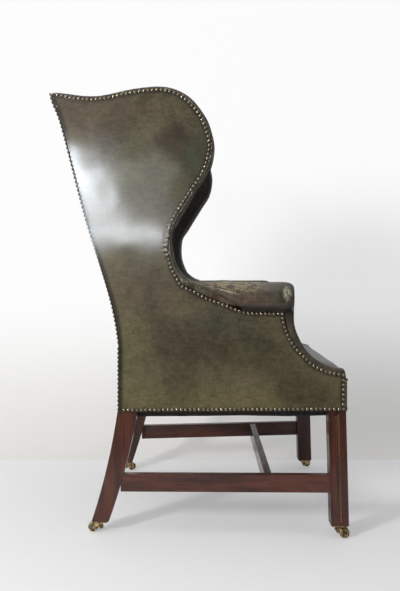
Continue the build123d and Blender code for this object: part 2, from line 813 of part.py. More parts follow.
# The tight seat, domed, with a soft roll along its front
seat_section_shares = [
    (0.0, 0.03, 0.0), (0.25, 0.02, 0.7), (0.5, 0.08, 1.0), (0.75, 0.3, 0.5), (1.0, 1.0, -0.6)]
seat_dome_inset = 92.0


def seat_pad(inset):
    """The seat as level sections, each a four-sided outline with round corners."""
    rise = seat_crown_height - inset - upholstery_base
    with BuildPart() as pad:
        for up, drawn, forward in seat_section_shares:
            gap = inset + seat_gap + seat_dome_inset * drawn
            front = seat_front - seat_roll_forward * forward + gap
            rear = seat_rear - gap
            front_x = side_x(front, -wing_thickness) - gap
            rear_x = side_x(rear, -wing_thickness) - gap
            with BuildSketch(Plane.XY.offset(upholstery_base + rise * up)) as section:
                with BuildLine():
                    Polyline(
                        (-front_x, front), (front_x, front), (rear_x, rear), (-rear_x, rear),
                        close=True)
                make_face()
                fillet(section.vertices(), radius=seat_corner_radius * (1 + 2 * drawn))
        loft()
    return pad.part


with BuildPart() as seat_leather:
    add(seat_pad(0))
    add(seat_pad(cover_leather), mode=Mode.SUBTRACT)
with BuildPart() as seat_stuffing:
    add(seat_pad(cover_leather + stuffing_clearance))

# Webbing on the seat rails and behind the inside back, woven as two layers of strips
web_reach = leather + board_thickness / 3
with BuildPart() as webbing:
    with BuildSketch(Plane.XY.offset(rail_top)):
        with Locations((0, (front_rail_rear + rear_rail_front) / 2)):
            with GridLocations(webbing_pitch, 0, seat_webs, 1):
                Rectangle(webbing_width, rear_rail_front - front_rail_rear + rail_thickness)
    extrude(amount=webbing_thickness)
    for row in range(seat_webs):
        place = seat_rear - webbing_pitch * row
        reach = side_x(place, -web_reach)
        with BuildSketch(Plane.XY.offset(rail_top + webbing_thickness)):
            with Locations((0, place)):
                Rectangle(2 * (reach - webbing_width / 4), webbing_width)
        extrude(amount=webbing_thickness)
pad_rise = crest_bottom - upholstery_base
pad_rake = crest_front - back_pad_foot
pad_length = math.hypot(pad_rise, pad_rake)
rake_plane = Plane(
    origin=(0, back_pad_foot, upholstery_base), x_dir=(1, 0, 0), z_dir=(0, -pad_rise, pad_rake))
back_web_half = side_x(crest_front, -leather - back_post_thickness) - seat_gap
with BuildPart() as back_webbing:
    with BuildSketch(rake_plane.offset(-hessian_thickness)):
        with Locations((0, pad_length / 2)):
            with GridLocations(webbing_pitch, 0, back_webs, 1):
                Rectangle(webbing_width, pad_length - webbing_width)
    extrude(amount=-webbing_thickness)
    with BuildSketch(rake_plane.offset(-hessian_thickness - webbing_thickness)):
        with Locations((0, pad_length / 2 + webbing_width)):
            with GridLocations(0, webbing_pitch + webbing_width / 2, 1, back_webs):
                Rectangle(2 * back_web_half, webbing_width)
    extrude(amount=-webbing_thickness)
    add(lower_back_rail.part, mode=Mode.SUBTRACT)
with BuildPart() as hessian:
    with BuildSketch(Plane.XY.offset(upholstery_base - hessian_thickness)):
        with BuildLine():
            front, rear = seat_front + 2 * leather, rear_rail_front + rail_thickness / 2
            front_x, rear_x = side_x(front, -web_reach), side_x(rear, -web_reach)
            Polyline(
                (-front_x, front), (front_x, front), (rear_x, rear), (-rear_x, rear), close=True)
        make_face()
    extrude(amount=hessian_thickness)
with BuildPart() as back_hessian:
    with BuildSketch(rake_plane):
        with Locations((0, pad_length / 2)):
            Rectangle(2 * back_web_half, pad_length - seat_corner_radius)
    extrude(amount=-hessian_thickness)
    add(lower_back_rail.part, mode=Mode.SUBTRACT)
with BuildPart() as side_posts:
    for piece in (arm_post, rear_leg_blank, back_post):
        add(piece.part)
        mirror(piece.part, about=Plane.YZ)
with BuildPart() as all_webbing:
    add(webbing.part)
    add(side_posts.part, mode=Mode.SUBTRACT)
    add(back_webbing.part)
with BuildPart() as all_hessian:
    add(hessian.part)
    add(side_posts.part, mode=Mode.SUBTRACT)
    add(back_hessian.part)

# The outside back, one sheet down the wooden back line
inner_side = side_plane.offset(-seat_gap)
with BuildPart() as outside_back:
    with BuildSketch(Plane.YZ):
        with BuildLine():
            near = drawn_in(back_points, -stuffing_clearance)
            far = drawn_in(back_points, -stuffing_clearance - leather)
            near[0] = (back_points[0][0] + stuffing_clearance, back_bend_height)
            far[0] = (near[0][0] + leather, back_bend_height)
            inner_edge = Spline(near)
            Line(inner_edge @ 1, far[-1])
            Spline(far[::-1])
            low = rail_bottom(back_foot)
            Polyline(far[0], (far[0][0], low), (near[0][0], low), near[0])
        make_face()
    extrude(amount=side_half_width, both=True)
    split(bisect_by=inner_side, keep=Keep.BOTTOM)
    split(
        bisect_by=Plane(
            origin=(-inner_side.origin.X, inner_side.origin.Y, 0),
            z_dir=(-inner_side.z_dir.X, inner_side.z_dir.Y, 0)), keep=Keep.BOTTOM)

# The leather border on the front rail, which turns both corners as far as the side panels
border_height = upholstery_base - rail_bottom(seat_front)
return_rear = sweep_nail_end - panel_beyond_nails - stuffing_clearance
with BuildPart() as border_block:
    with BuildSketch(Plane.XY.offset(rail_bottom(seat_front))):
        with BuildLine():
            front_x, rear_x = side_x(seat_front, 0), side_x(return_rear, 0)
            Polyline(
                (-front_x, seat_front), (front_x, seat_front), (rear_x, return_rear),
                (-rear_x, return_rear), close=True)
        make_face()
    extrude(amount=border_height)
with BuildPart() as border_room:
    with BuildSketch(Plane.XY.offset(rail_bottom(seat_front))):
        with BuildLine():
            face = seat_front + leather
            front_x, rear_x = side_x(face, -leather), side_x(return_rear + leather, -leather)
            Polyline(
                (-front_x, face), (front_x, face), (rear_x, return_rear + leather),
                (-rear_x, return_rear + leather), close=True)
        make_face()
    extrude(amount=border_height)
with BuildPart() as front_border:
    add(border_block.part)
    add(border_room.part, mode=Mode.SUBTRACT)

# The dust cloth, tacked under the rails and hanging a little between them
dust_shares = [-1.0, -0.55, 0.0, 0.55, 1.0]
dust_half_width = side_x(back_foot, -leather - board_thickness / 2)
cloth_front, cloth_rear = front_rail_rear, rear_rail_front
cloth_middle = (cloth_front + cloth_rear) / 2
tack_front, tack_rear = cloth_front - rail_thickness / 2, cloth_rear + rail_thickness / 2
with BuildPart() as dust_cloth:
    for across in dust_shares:
        sag = dust_cloth_sag * (1 - across * across) + dust_cloth_thickness / 2
        low = rail_bottom(cloth_middle) - sag
        with BuildSketch(Plane.YZ.offset(dust_half_width * across)):
            with BuildLine():
                upper = ThreePointArc(
                    (cloth_front, rail_bottom(cloth_front)), (cloth_middle, low),
                    (cloth_rear, rail_bottom(cloth_rear)))
                rear_tack = Polyline(
                    upper @ 1, (tack_rear, rail_bottom(tack_rear)),
                    (tack_rear, rail_bottom(tack_rear) - dust_cloth_thickness),
                    (cloth_rear, rail_bottom(cloth_rear) - dust_cloth_thickness))
                lower = ThreePointArc(
                    rear_tack @ 1, (cloth_middle, low - dust_cloth_thickness),
                    (cloth_front, rail_bottom(cloth_front) - dust_cloth_thickness))
                Polyline(
                    lower @ 1, (tack_front, rail_bottom(tack_front) - dust_cloth_thickness),
                    (tack_front, rail_bottom(tack_front)), upper @ 0)
            make_face()
    loft()
    for piece in (front_leg_blank, rear_leg_blank):
        add(piece.part, mode=Mode.SUBTRACT)
        mirror(piece.part, about=Plane.YZ, mode=Mode.SUBTRACT)

# Castors: a plate screwed under the leg, a horn that swivels in it and a barrel wheel
plate_bottom = leg_foot_height - plate_thickness
horn_top = plate_bottom - horn_top_gap
cheek_inner = wheel_width / 2 + wheel_side_gap
with BuildPart() as horn_shape:
    with BuildSketch(Plane.XY.offset(wheel_radius - horn_end_radius)):
        Circle(horn_boss_radius)
    extrude(amount=horn_top - wheel_radius + horn_end_radius)
    with BuildSketch(Plane.XZ.offset(-cheek_inner - horn_cheek)) as cheek_side:
        with BuildLine():
            Polyline(
                (-horn_boss_radius, horn_top), (horn_boss_radius, horn_top),
                (castor_trail + horn_end_radius, wheel_radius + horn_end_radius),
                (castor_trail + horn_end_radius, wheel_radius - horn_end_radius),
                (castor_trail - horn_end_radius, wheel_radius - horn_end_radius),
                (-horn_boss_radius, wheel_radius + axle_radius), close=True)
        make_face()
        fillet(cheek_side.vertices().sort_by(Axis.X)[-2:], radius=horn_end_radius * 0.9)
    extrude(amount=2 * (cheek_inner + horn_cheek))
    with BuildSketch(Plane.XZ.offset(-cheek_inner)):
        with Locations((horn_boss_radius + castor_trail, 0)):
            Rectangle(2 * castor_trail, 4 * horn_top)
    extrude(amount=2 * cheek_inner, mode=Mode.SUBTRACT)
    with BuildSketch(Plane.XY.offset(horn_top)):
        Circle(castor_pin_radius)
    extrude(amount=plate_thickness + horn_top_gap + castor_pin_room)
    with BuildSketch(Plane.XY.offset(leg_foot_height + castor_pin_room / 2)):
        Circle(castor_pin_head_radius)
    extrude(amount=castor_pin_head_height)
    with BuildSketch(Plane.XZ.offset(-cheek_inner - horn_cheek)):
        with Locations((castor_trail, wheel_radius)):
            Circle(axle_radius + running_clearance)
    extrude(amount=2 * (cheek_inner + horn_cheek), mode=Mode.SUBTRACT)
with BuildPart() as axle_shape:
    with BuildSketch(Plane.XZ):
        with Locations((castor_trail, wheel_radius)):
            Circle(axle_radius)
    extrude(amount=cheek_inner + horn_cheek, both=True)
    for way in (1, -1):
        with BuildSketch(Plane.XZ.offset(way * (cheek_inner + horn_cheek))):
            with Locations((castor_trail, wheel_radius)):
                Circle(axle_head_radius)
        extrude(amount=way * axle_head_height)
with BuildPart() as wheel_shape:
    with BuildSketch(Plane.XY):
        with BuildLine():
            crown = ThreePointArc(
                (wheel_radius - wheel_crown, -wheel_width / 2), (wheel_radius, 0),
                (wheel_radius - wheel_crown, wheel_width / 2))
            bore = axle_radius + running_clearance
            Polyline(crown @ 1, (bore, wheel_width / 2), (bore, -wheel_width / 2), crown @ 0)
        make_face()
    revolve(axis=Axis.Y)
screw_seat = screw_head_radius / 2
with BuildPart() as screw_shape:
    with BuildSketch(Plane.XY.offset(plate_bottom)):
        Circle(screw_head_radius)
    extrude(amount=screw_seat)
    with BuildSketch(Plane.XY.offset(plate_bottom)):
        Circle(screw_shank_radius)
    extrude(amount=screw_length)

# Where each castor stands and which way its wheel trails, in degrees
castor_places = {
    "front_left": (front_leg_middle, front_foot_middle, -38.0),
    "front_right": (-front_leg_middle, front_foot_middle, -144.0),
    "rear_left": (rear_leg_middle, rear_foot_middle, -80.0),
    "rear_right": (-rear_leg_middle, rear_foot_middle, 97.0),
}
corner_locations = [Location((x, y, 0)) for x, y, _ in castor_places.values()]
with BuildPart() as castor_screws:
    for place in corner_locations:
        with Locations(place):
            with GridLocations(2 * screw_place, 2 * screw_place, 2, 2):
                add(screw_shape.part)
with BuildPart() as castor_plates:
    with BuildSketch(Plane.XY.offset(plate_bottom)):
        with Locations(*corner_locations):
            Rectangle(plate_side, plate_side)
            Circle(castor_pin_radius + running_clearance, mode=Mode.SUBTRACT)
    extrude(amount=plate_thickness)
    add(castor_screws.part, mode=Mode.SUBTRACT)
save(castor_plates, "castor_plates")
save(castor_screws, "castor_screws")
for corner, (x, y, turn) in castor_places.items():
    stand = Location((x, y, 0), (0, 0, turn))
    with BuildPart() as horn:
        with Locations(stand):
            add(horn_shape.part)
    save(horn, f"castor_horn_{corner}")
    with BuildPart() as axle:
        with Locations(stand):
            add(axle_shape.part)
    save(axle, f"castor_axle_{corner}")
    with BuildPart() as wheel:
        with Locations(stand * Location((castor_trail, 0, wheel_radius))):
            add(wheel_shape.part)
    save(wheel, f"castor_wheel_{corner}")

# Legs with their mortises, pin rooms and, in front, a sunk channel on the two outer faces
pin_room_height = castor_pin_head_height + 2 * castor_pin_room
with BuildPart() as front_leg:
    add(front_leg_blank.part)
    for piece in (side_seat_rail, front_seat_rail, side_stretcher, left_pegs):
        add(piece.part, mode=Mode.SUBTRACT)
    with BuildSketch(Plane.XY.offset(leg_foot_height)):
        with Locations((front_leg_middle, front_foot_middle)):
            Circle(castor_pin_head_radius + castor_pin_room)
    extrude(amount=pin_room_height, mode=Mode.SUBTRACT)
    for x, ahead, wide, deep in (
            (front_leg_outer, 0, 2 * channel_depth, channel_width),
            (front_leg_middle, front_leg_depth / 2, channel_width, 2 * channel_depth)):
        for height in (leg_foot_height + channel_stop, front_leg_top - channel_stop):
            rise_share = (height - leg_foot_height) / (front_leg_top - leg_foot_height)
            middle = front_foot_middle + front_leg_lean * rise_share
            with BuildSketch(Plane.XY.offset(height)):
                with Locations((x, middle - ahead)):
                    Rectangle(wide, deep)
        loft(mode=Mode.SUBTRACT)
with BuildPart() as rear_leg:
    add(rear_leg_blank.part)
    for piece in (side_seat_rail, rear_seat_rail, side_stretcher, left_pegs):
        add(piece.part, mode=Mode.SUBTRACT)
    with BuildSketch(Plane.XY.offset(leg_foot_height)):
        with Locations((rear_leg_middle, rear_foot_middle)):
            Circle(castor_pin_head_radius + castor_pin_room)
    extrude(amount=pin_room_height, mode=Mode.SUBTRACT)
save_pair(front_leg, "front_leg")
save_pair(rear_leg, "rear_leg")
with BuildPart() as joint_pegs:
    add(left_pegs.part)
    mirror(left_pegs.part, about=Plane.YZ)
save(joint_pegs, "joint_pegs")
with BuildPart() as pegged_side_rail:
    add(side_seat_rail.part)
    add(left_pegs.part, mode=Mode.SUBTRACT)
save_pair(pegged_side_rail, "side_seat_rail")
for rail, name in ((front_seat_rail, "front_seat_rail"), (rear_seat_rail, "rear_seat_rail")):
    with BuildPart() as pegged_rail:
        add(rail.part)
        add(joint_pegs.part, mode=Mode.SUBTRACT)
    save(pegged_rail, name)
save_pair(side_stretcher, "side_stretcher")
save(cross_stretcher, "cross_stretcher")

# Boards with the mortises that their neighbours need
with BuildPart() as mortised_post:
    add(back_post.part)
    for piece in (crest_rail, lower_back_rail):
        add(piece.part, mode=Mode.SUBTRACT)
save_pair(mortised_post, "back_post")
with BuildPart() as mortised_arm_post:
    add(arm_post.part)
    add(arm_rail.part, mode=Mode.SUBTRACT)
save_pair(mortised_arm_post, "arm_post")
save_pair(arm_rail, "arm_rail")
save_pair(wing_upright, "wing_upright")
save_pair(wing_top_rail, "wing_top_rail")
save(crest_rail, "crest_rail")
save(lower_back_rail, "lower_back_rail")
with BuildPart() as arm_boards:
    add(left_arm_board.part)
    mirror(left_arm_board.part, about=Plane.YZ)
save(arm_boards, "arm_boards")
with BuildPart() as corner_blocks:
    add(left_blocks.part)
    mirror(left_blocks.part, about=Plane.YZ)
save(corner_blocks, "corner_blocks")

# Upholstery, with the side leather parted at the seam where the wing meets the arm
seam = Plane.XY.offset(arm_top_height + seam_rise)
back_cloths = (back_webbing.part, back_hessian.part)
with BuildPart() as inside_wing_leather:
    add(side_leather.part)
    split(bisect_by=seam, keep=Keep.TOP)
    for piece in back_cloths:
        add(piece, mode=Mode.SUBTRACT)
with BuildPart() as inside_arm_leather:
    add(side_leather.part)
    split(bisect_by=seam, keep=Keep.BOTTOM)
    for piece in back_cloths:
        add(piece, mode=Mode.SUBTRACT)
with BuildPart() as slit_stuffing:
    add(side_stuffing.part)
    for piece in back_cloths:
        add(piece, mode=Mode.SUBTRACT)
save_pair(inside_wing_leather, "inside_wing_leather")
save_pair(inside_arm_leather, "inside_arm_leather")
save_pair(slit_stuffing, "side_stuffing")
save_pair(outside_panel, "outside_panel")
save(inside_back_leather, "inside_back_leather")
save(back_stuffing, "back_stuffing")
save(seat_leather, "seat_leather")
save(seat_stuffing, "seat_stuffing")
save(all_webbing, "webbing")
save(all_hessian, "hessian")
save(outside_back, "outside_back")
save(front_border, "front_border")
save(dust_cloth, "dust_cloth")

# Domed nails
with BuildPart() as nail:
    with BuildSketch(Plane.XZ):
        with BuildLine():
            rim = nail_head_radius * math.sqrt(0.5)
            dome = ThreePointArc(
                (0, nail_head_height), (rim, nail_head_height * math.sqrt(0.5)),
                (nail_head_radius, 0))
            Polyline(
                dome @ 1, (nail_shank_radius, 0), (nail_shank_radius, -nail_shank_length),
                (0, -nail_shank_length), dome @ 0)
        make_face()
    revolve(axis=Axis.Z)


def nail_shares(length):
    """Evenly spread shares of a length, about a pitch apart."""
    count = round(length / nail_pitch)
    return [i / count for i in range(count)]


def driven(places, normal):
    """Nails at places, their heads towards a normal."""
    return [nail.part.solid().moved(Plane(origin=place, z_dir=normal).location)
            for place in places]


upper_points, nail_corner, sweep_points, front_foot, rear_foot = nail_lines(0)
side_edges = [
    Edge.make_spline([Vector(*point) for point in upper_points]),
    Edge.make_line(Vector(*upper_points[-1]), Vector(*nail_corner)),
    Edge.make_spline([Vector(*point) for point in sweep_points]),
    Edge.make_line(Vector(*sweep_points[-1]), Vector(*front_foot)),
    Edge.make_line(Vector(*front_foot), Vector(*rear_foot)),
]
side_places = []
for edge in side_edges:
    side_places += [edge @ share for share in nail_shares(edge.length)]
side_places = [side_plane.from_local_coords((p.X, p.Y, 0)) for p in side_places[1:]]
with BuildPart() as side_nails:
    add(driven(side_places, side_plane.z_dir))
    add(driven(
        [Vector(-p.X, p.Y, p.Z) for p in side_places],
        (-side_plane.z_dir.X, side_plane.z_dir.Y, 0)))
save(side_nails, "side_nails")

with BuildPart() as front_nails:
    front_half = side_x(seat_front, -nail_pitch)
    level = rail_bottom(seat_front) + nails_above_edge
    count = round(2 * front_half / nail_pitch)
    add(driven(
        [Vector(front_half * (2 * i / count - 1), seat_front, level) for i in range(count + 1)],
        (0, -1, 0)))
save(front_nails, "front_nails")

# The back's nails follow its bend in two columns, with a row across the foot and the head
outer_back = drawn_in(back_points, -stuffing_clearance - leather)
outer_back[0] = (back_foot + stuffing_clearance, back_bend_height)
back_edges = [
    Edge.make_line(
        Vector(0, outer_back[0][0], rail_bottom(back_foot) + nails_above_edge),
        Vector(0, outer_back[0][0], back_bend_height)),
    Edge.make_spline([Vector(0, *point) for point in outer_back]),
]
back_driven = []
for edge in back_edges:
    for share in nail_shares(edge.length - nails_above_edge):
        share *= 1 - nails_above_edge / edge.length
        place, way = edge @ share, edge % share
        x = side_x(place.Y, -nails_above_edge)
        back_driven += driven(
            [Vector(x, place.Y, place.Z), Vector(-x, place.Y, place.Z)], (0, way.Z, -way.Y))
for edge, share in (
        (back_edges[0], 0), (back_edges[1], 1 - nails_above_edge / back_edges[1].length)):
    place, way = edge @ share, edge % share
    half = side_x(place.Y, -nails_above_edge)
    count = round(2 * half / nail_pitch)
    first = 0 if share else 1
    back_driven += driven(
        [Vector(half * (2 * i / count - 1), place.Y, place.Z)
         for i in range(first, count + 1 - first)],
        (0, way.Z, -way.Y))
with BuildPart() as back_nails:
    add(back_driven)
save(back_nails, "back_nails")
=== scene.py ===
import math

import bmesh
import bpy
import numpy as np
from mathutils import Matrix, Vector, noise
from mathutils.kdtree import KDTree


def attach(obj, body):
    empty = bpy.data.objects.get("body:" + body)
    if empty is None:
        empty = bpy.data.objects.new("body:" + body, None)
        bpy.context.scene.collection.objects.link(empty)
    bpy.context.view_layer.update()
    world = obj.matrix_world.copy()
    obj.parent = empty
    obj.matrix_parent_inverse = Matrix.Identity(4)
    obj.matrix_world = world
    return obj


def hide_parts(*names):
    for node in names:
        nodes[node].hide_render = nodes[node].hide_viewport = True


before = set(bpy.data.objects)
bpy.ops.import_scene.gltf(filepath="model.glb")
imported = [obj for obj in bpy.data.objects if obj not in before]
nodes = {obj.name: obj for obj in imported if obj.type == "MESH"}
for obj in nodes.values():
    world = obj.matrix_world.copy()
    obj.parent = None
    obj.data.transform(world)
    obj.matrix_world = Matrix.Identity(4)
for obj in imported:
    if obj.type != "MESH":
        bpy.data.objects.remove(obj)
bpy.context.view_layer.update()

# A wing armchair in aged olive leather. Metres. The chair faces -Y and the sitter's left is +X.
SIDE_HALF_WIDTH = 0.320
TOE = math.radians(3.4)
SIDE_NORMAL = Vector((math.cos(TOE), math.sin(TOE), 0))
SIDE_ALONG = Vector((-math.sin(TOE), math.cos(TOE), 0))
LEATHER = 0.0025
LEFT, RIGHT = 1, -1
SIDES = ((LEFT, "left"), (RIGHT, "right"))

WING_TOP, WING_FRONT = 1.1475, -0.038
BACK_CORNER, BACK_CORNER_HEIGHT = 0.381, 1.137
NECK_HEIGHT, NECK_DEPTH = 0.765, 0.070
ARM_JOIN, ARM_TOP = 0.005, 0.646
SEAT_FRONT, BACK_FOOT, BACK_BEND = -0.3745, 0.206, 0.490
ROLL_NAIL_REAR, ROLL_NAIL_HEIGHT, ARM_NAIL_FRONT = 0.042, 0.5655, -0.213
SWEEP_NAIL_END, SWEEP_NAIL_END_HEIGHT = -0.366, 0.411
RAIL_BOTTOM_FRONT, RAIL_BOTTOM_REAR = 0.321, 0.312
NAIL_PITCH, NAIL_INSET = 0.0113, 0.0055
LINE_STEP = 0.001

# The side's lines, as shares of a box: how far forward and how far up
WING_EDGE_SHARES = [
    (0.168, 0.948), (0.243, 0.941), (0.354, 0.952), (0.466, 0.978), (0.576, 0.995),
    (0.651, 1.0), (0.7245, 0.992), (0.798, 0.964), (0.871, 0.906), (0.9435, 0.799),
    (0.978, 0.71), (1.0, 0.585), (0.977, 0.446), (0.917, 0.337), (0.860, 0.236),
    (0.8045, 0.136), (0.756, 0.045)]
NECK_EDGE_SHARES = [(0.055, 0.66), (0.285, 0.28), (0.49, 0.144), (0.77, 0.04), (1.0, 0.0)]
WING_NAIL_SHARES = [
    (0.012, 0.957), (0.117, 0.929), (0.237, 0.914), (0.3525, 0.924), (0.4654, 0.95),
    (0.5754, 0.967), (0.650, 0.972), (0.7234, 0.963), (0.7843, 0.938), (0.848, 0.888),
    (0.9265, 0.779), (0.961, 0.68), (0.9745, 0.62), (0.971, 0.56), (0.952, 0.47),
    (0.897, 0.352), (0.858, 0.292), (0.7745, 0.15), (0.737, 0.068)]
NECK_NAIL_SHARES = [(-0.17, 0.80), (-0.18, 0.66), (-0.09, 0.48), (0.0, 0.295), (0.17, 0.12)]
ROLL_NAIL_SHARES = [
    (0.0, 0.86), (0.09, 0.73), (0.235, 0.49), (0.42, 0.28), (0.545, 0.11), (0.706, 0.0)]
SWEEP_NAIL_SHARES = [
    (0.055, 0.72), (0.175, 0.49), (0.26, 0.385), (0.36, 0.285), (0.47, 0.185), (0.60, 0.105),
    (0.735, 0.052), (0.875, 0.02)]
# The back's line, as shares of its height and of its rake
BACK_LINE_SHARES = [
    (0.0, 0.0), (0.145, 0.0935), (0.455, 0.434), (0.8385, 0.8085), (0.915, 0.898),
    (0.96, 0.968), (1.0, 1.0)]


def within(shares, rear, front, low, high):
    """Outline points from shares of a box: how far forward, and how far up."""
    return [(rear + (front - rear) * f, low + (high - low) * u) for f, u in shares]


def rail_bottom(y):
    """The height of the seat rail's lower edge."""
    share = (y - SEAT_FRONT) / (BACK_FOOT - SEAT_FRONT)
    return RAIL_BOTTOM_FRONT + (RAIL_BOTTOM_REAR - RAIL_BOTTOM_FRONT) * share


def on_side(y, z, out, side):
    """A place on the side's plane, moved out by a length."""
    place = Vector((SIDE_HALF_WIDTH, 0, z)) + SIDE_ALONG * y + SIDE_NORMAL * out
    return Vector((place.x * side, place.y, place.z))


def drawn_in(points, inset):
    """A line of points moved in towards the panel by a length."""
    moved = []
    for i, (y, z) in enumerate(points):
        before, after = points[max(i - 1, 0)], points[min(i + 1, len(points) - 1)]
        dy, dz = after[0] - before[0], after[1] - before[1]
        length = math.hypot(dy, dz)
        moved.append((y - dz / length * inset, z + dy / length * inset))
    return moved


def curve_through(points, step=LINE_STEP):
    """A smooth line through points, as points a step apart."""
    padded = [points[0]] + list(points) + [points[-1]]
    fine = []
    for a, b, c, d in zip(padded, padded[1:], padded[2:], padded[3:]):
        count = max(int(math.dist(b, c) / (step / 4)), 2)
        for i in range(count):
            t = i / count
            fine.append(tuple(
                0.5 * (2 * q + (r - p) * t + (2 * p - 5 * q + 4 * r - s) * t * t
                       + (3 * q - p - 3 * r + s) * t ** 3)
                for p, q, r, s in zip(a, b, c, d)))
    fine.append(tuple(points[-1]))
    return evenly(fine, step)


def evenly(points, step=LINE_STEP):
    """Points spread evenly along a line of points, about a step apart, with both its ends."""
    array = np.array(points, float)
    lengths = np.concatenate([[0], np.cumsum(np.linalg.norm(np.diff(array, axis=0), axis=1))])
    count = max(round(lengths[-1] / step), 1)
    wanted = np.linspace(0, lengths[-1], count + 1)
    return [
        tuple(row) for row in np.stack(
            [np.interp(wanted, lengths, array[:, k]) for k in range(array.shape[1])], axis=1)]


def back_line():
    """The back's nailed edge from the bend up to the top corner, seen from the side."""
    rear = BACK_FOOT - LEATHER
    return [
        (rear + (BACK_CORNER - rear) * r, BACK_BEND + (BACK_CORNER_HEIGHT - BACK_BEND) * h)
        for h, r in BACK_LINE_SHARES]


def wing_edge():
    """The wing's and the arm's edge from near the back corner to the arm's top."""
    wing = within(WING_EDGE_SHARES, BACK_CORNER, WING_FRONT, NECK_HEIGHT, WING_TOP)
    return wing + within(NECK_EDGE_SHARES, NECK_DEPTH, ARM_JOIN, ARM_TOP, NECK_HEIGHT)


def nail_stretches():
    """The side's nail line in five stretches, from the back corner round to the back foot."""
    upper = (
        within(WING_NAIL_SHARES, BACK_CORNER, WING_FRONT, NECK_HEIGHT, WING_TOP)
        + within(NECK_NAIL_SHARES, NECK_DEPTH, ARM_JOIN, ARM_TOP, NECK_HEIGHT)
        + within(ROLL_NAIL_SHARES, ROLL_NAIL_REAR, ARM_NAIL_FRONT, ROLL_NAIL_HEIGHT, ARM_TOP))
    corner = (ARM_NAIL_FRONT, ROLL_NAIL_HEIGHT)
    sweep = [corner] + within(
        SWEEP_NAIL_SHARES, ARM_NAIL_FRONT, SWEEP_NAIL_END, SWEEP_NAIL_END_HEIGHT,
        ROLL_NAIL_HEIGHT) + [(SWEEP_NAIL_END, SWEEP_NAIL_END_HEIGHT)]
    front_foot = (SWEEP_NAIL_END, rail_bottom(SWEEP_NAIL_END) + NAIL_INSET)
    rear_foot = (BACK_FOOT - LEATHER, rail_bottom(BACK_FOOT) + NAIL_INSET)
    return [
        curve_through(upper), evenly([upper[-1], corner]), curve_through(sweep),
        evenly([sweep[-1], front_foot]), evenly([front_foot, rear_foot])]


def panel_outline(beyond):
    """The outside panel's closed edge: the nail line moved outwards, the foot and the back.

    With it comes the number of its points that lie along nails.
    """
    stretches = nail_stretches()
    upper, sweep = drawn_in(stretches[0], -beyond), drawn_in(stretches[2], -beyond)
    corner = (ARM_NAIL_FRONT - beyond, ROLL_NAIL_HEIGHT + beyond)
    sweep[0] = corner
    front_foot = (SWEEP_NAIL_END - beyond, rail_bottom(SWEEP_NAIL_END))
    rear_foot = (BACK_FOOT - LEATHER, rail_bottom(BACK_FOOT))
    back = [p for p in curve_through(back_line()) if p[1] < upper[0][1] - 0.004]
    line = upper + evenly([upper[-1], corner])[1:] + sweep[1:]
    line += evenly([sweep[-1], front_foot])[1:] + evenly([front_foot, rear_foot])[1:]
    nailed = len(line)
    line += evenly([rear_foot, back[0]])[1:] + back[1:]
    return line + evenly([back[-1], upper[0]])[1:-1], nailed


# The camera, worked out from the photograph in its pixels
PICTURE_HEIGHT, FOCAL_LENGTH, SHIFT_ACROSS, SHIFT_UP = 591, 704, -6, -19.5
SENSOR = 36

scene = bpy.context.scene
scene.view_settings.view_transform = "Standard"
camera_data = bpy.data.cameras.new("camera")
camera_data.lens = FOCAL_LENGTH / PICTURE_HEIGHT * SENSOR
camera_data.sensor_width = SENSOR
camera_data.shift_x = SHIFT_ACROSS / PICTURE_HEIGHT
camera_data.shift_y = SHIFT_UP / PICTURE_HEIGHT
camera = bpy.data.objects.new("camera", camera_data)
camera.location = (-2.113, -0.019, 0.661)
camera.rotation_euler = (math.radians(90), 0, math.radians(-90))
scene.collection.objects.link(camera)
scene.camera = camera


def area_light(name, place, target, width, height, power, color):
    """A lamp that shines from its place towards a target and can't be seen itself."""
    data = bpy.data.lights.new(name, "AREA")
    data.shape = "RECTANGLE"
    data.size, data.size_y = width, height
    data.energy = power
    data.color = color
    light = bpy.data.objects.new(name, data)
    light.location = place
    light.rotation_euler = (Vector(target) - Vector(place)).to_track_quat("-Z", "Y").to_euler()
    light.visible_camera = False
    scene.collection.objects.link(light)
    return light


area_light(
    "window", (-2.6, 2.15, 1.5), (0.1, 0, 0.6), 0.42, 0.55, 76, (1.0, 0.985, 0.96))
area_light(
    "ceiling", (-0.7, 0.3, 3.4), (0, 0, 0.3), 3.0, 3.0, 23, (1.0, 0.99, 0.97))
# The window panes that mirror in the right panel: start along Y, bottom, top and brightness
PANE_END, PANE_PLACE = 1.5, -3.3
SKYLIGHT = (0.87, 0.93, 1.0)
for number, (start, low, high, level) in enumerate((
        (0.63, 0.880, 0.985, 24.0), (0.86, 0.985, 1.10, 16.0), (1.00, 1.10, 1.25, 22.0),
        (1.09, 1.25, 1.40, 40.0), (1.19, 1.40, 1.54, 40.0), (0.55, 0.95, 1.48, 2.2))):
    y, z = (start + PANE_END) / 2, (low + high) / 2
    width, height = PANE_END - start, high - low
    pane = area_light(
        f"pane_{number}", (PANE_PLACE, y, z), (-SIDE_HALF_WIDTH, y, z), width, height,
        level * math.pi * width * height, SKYLIGHT)
    pane.visible_diffuse = False


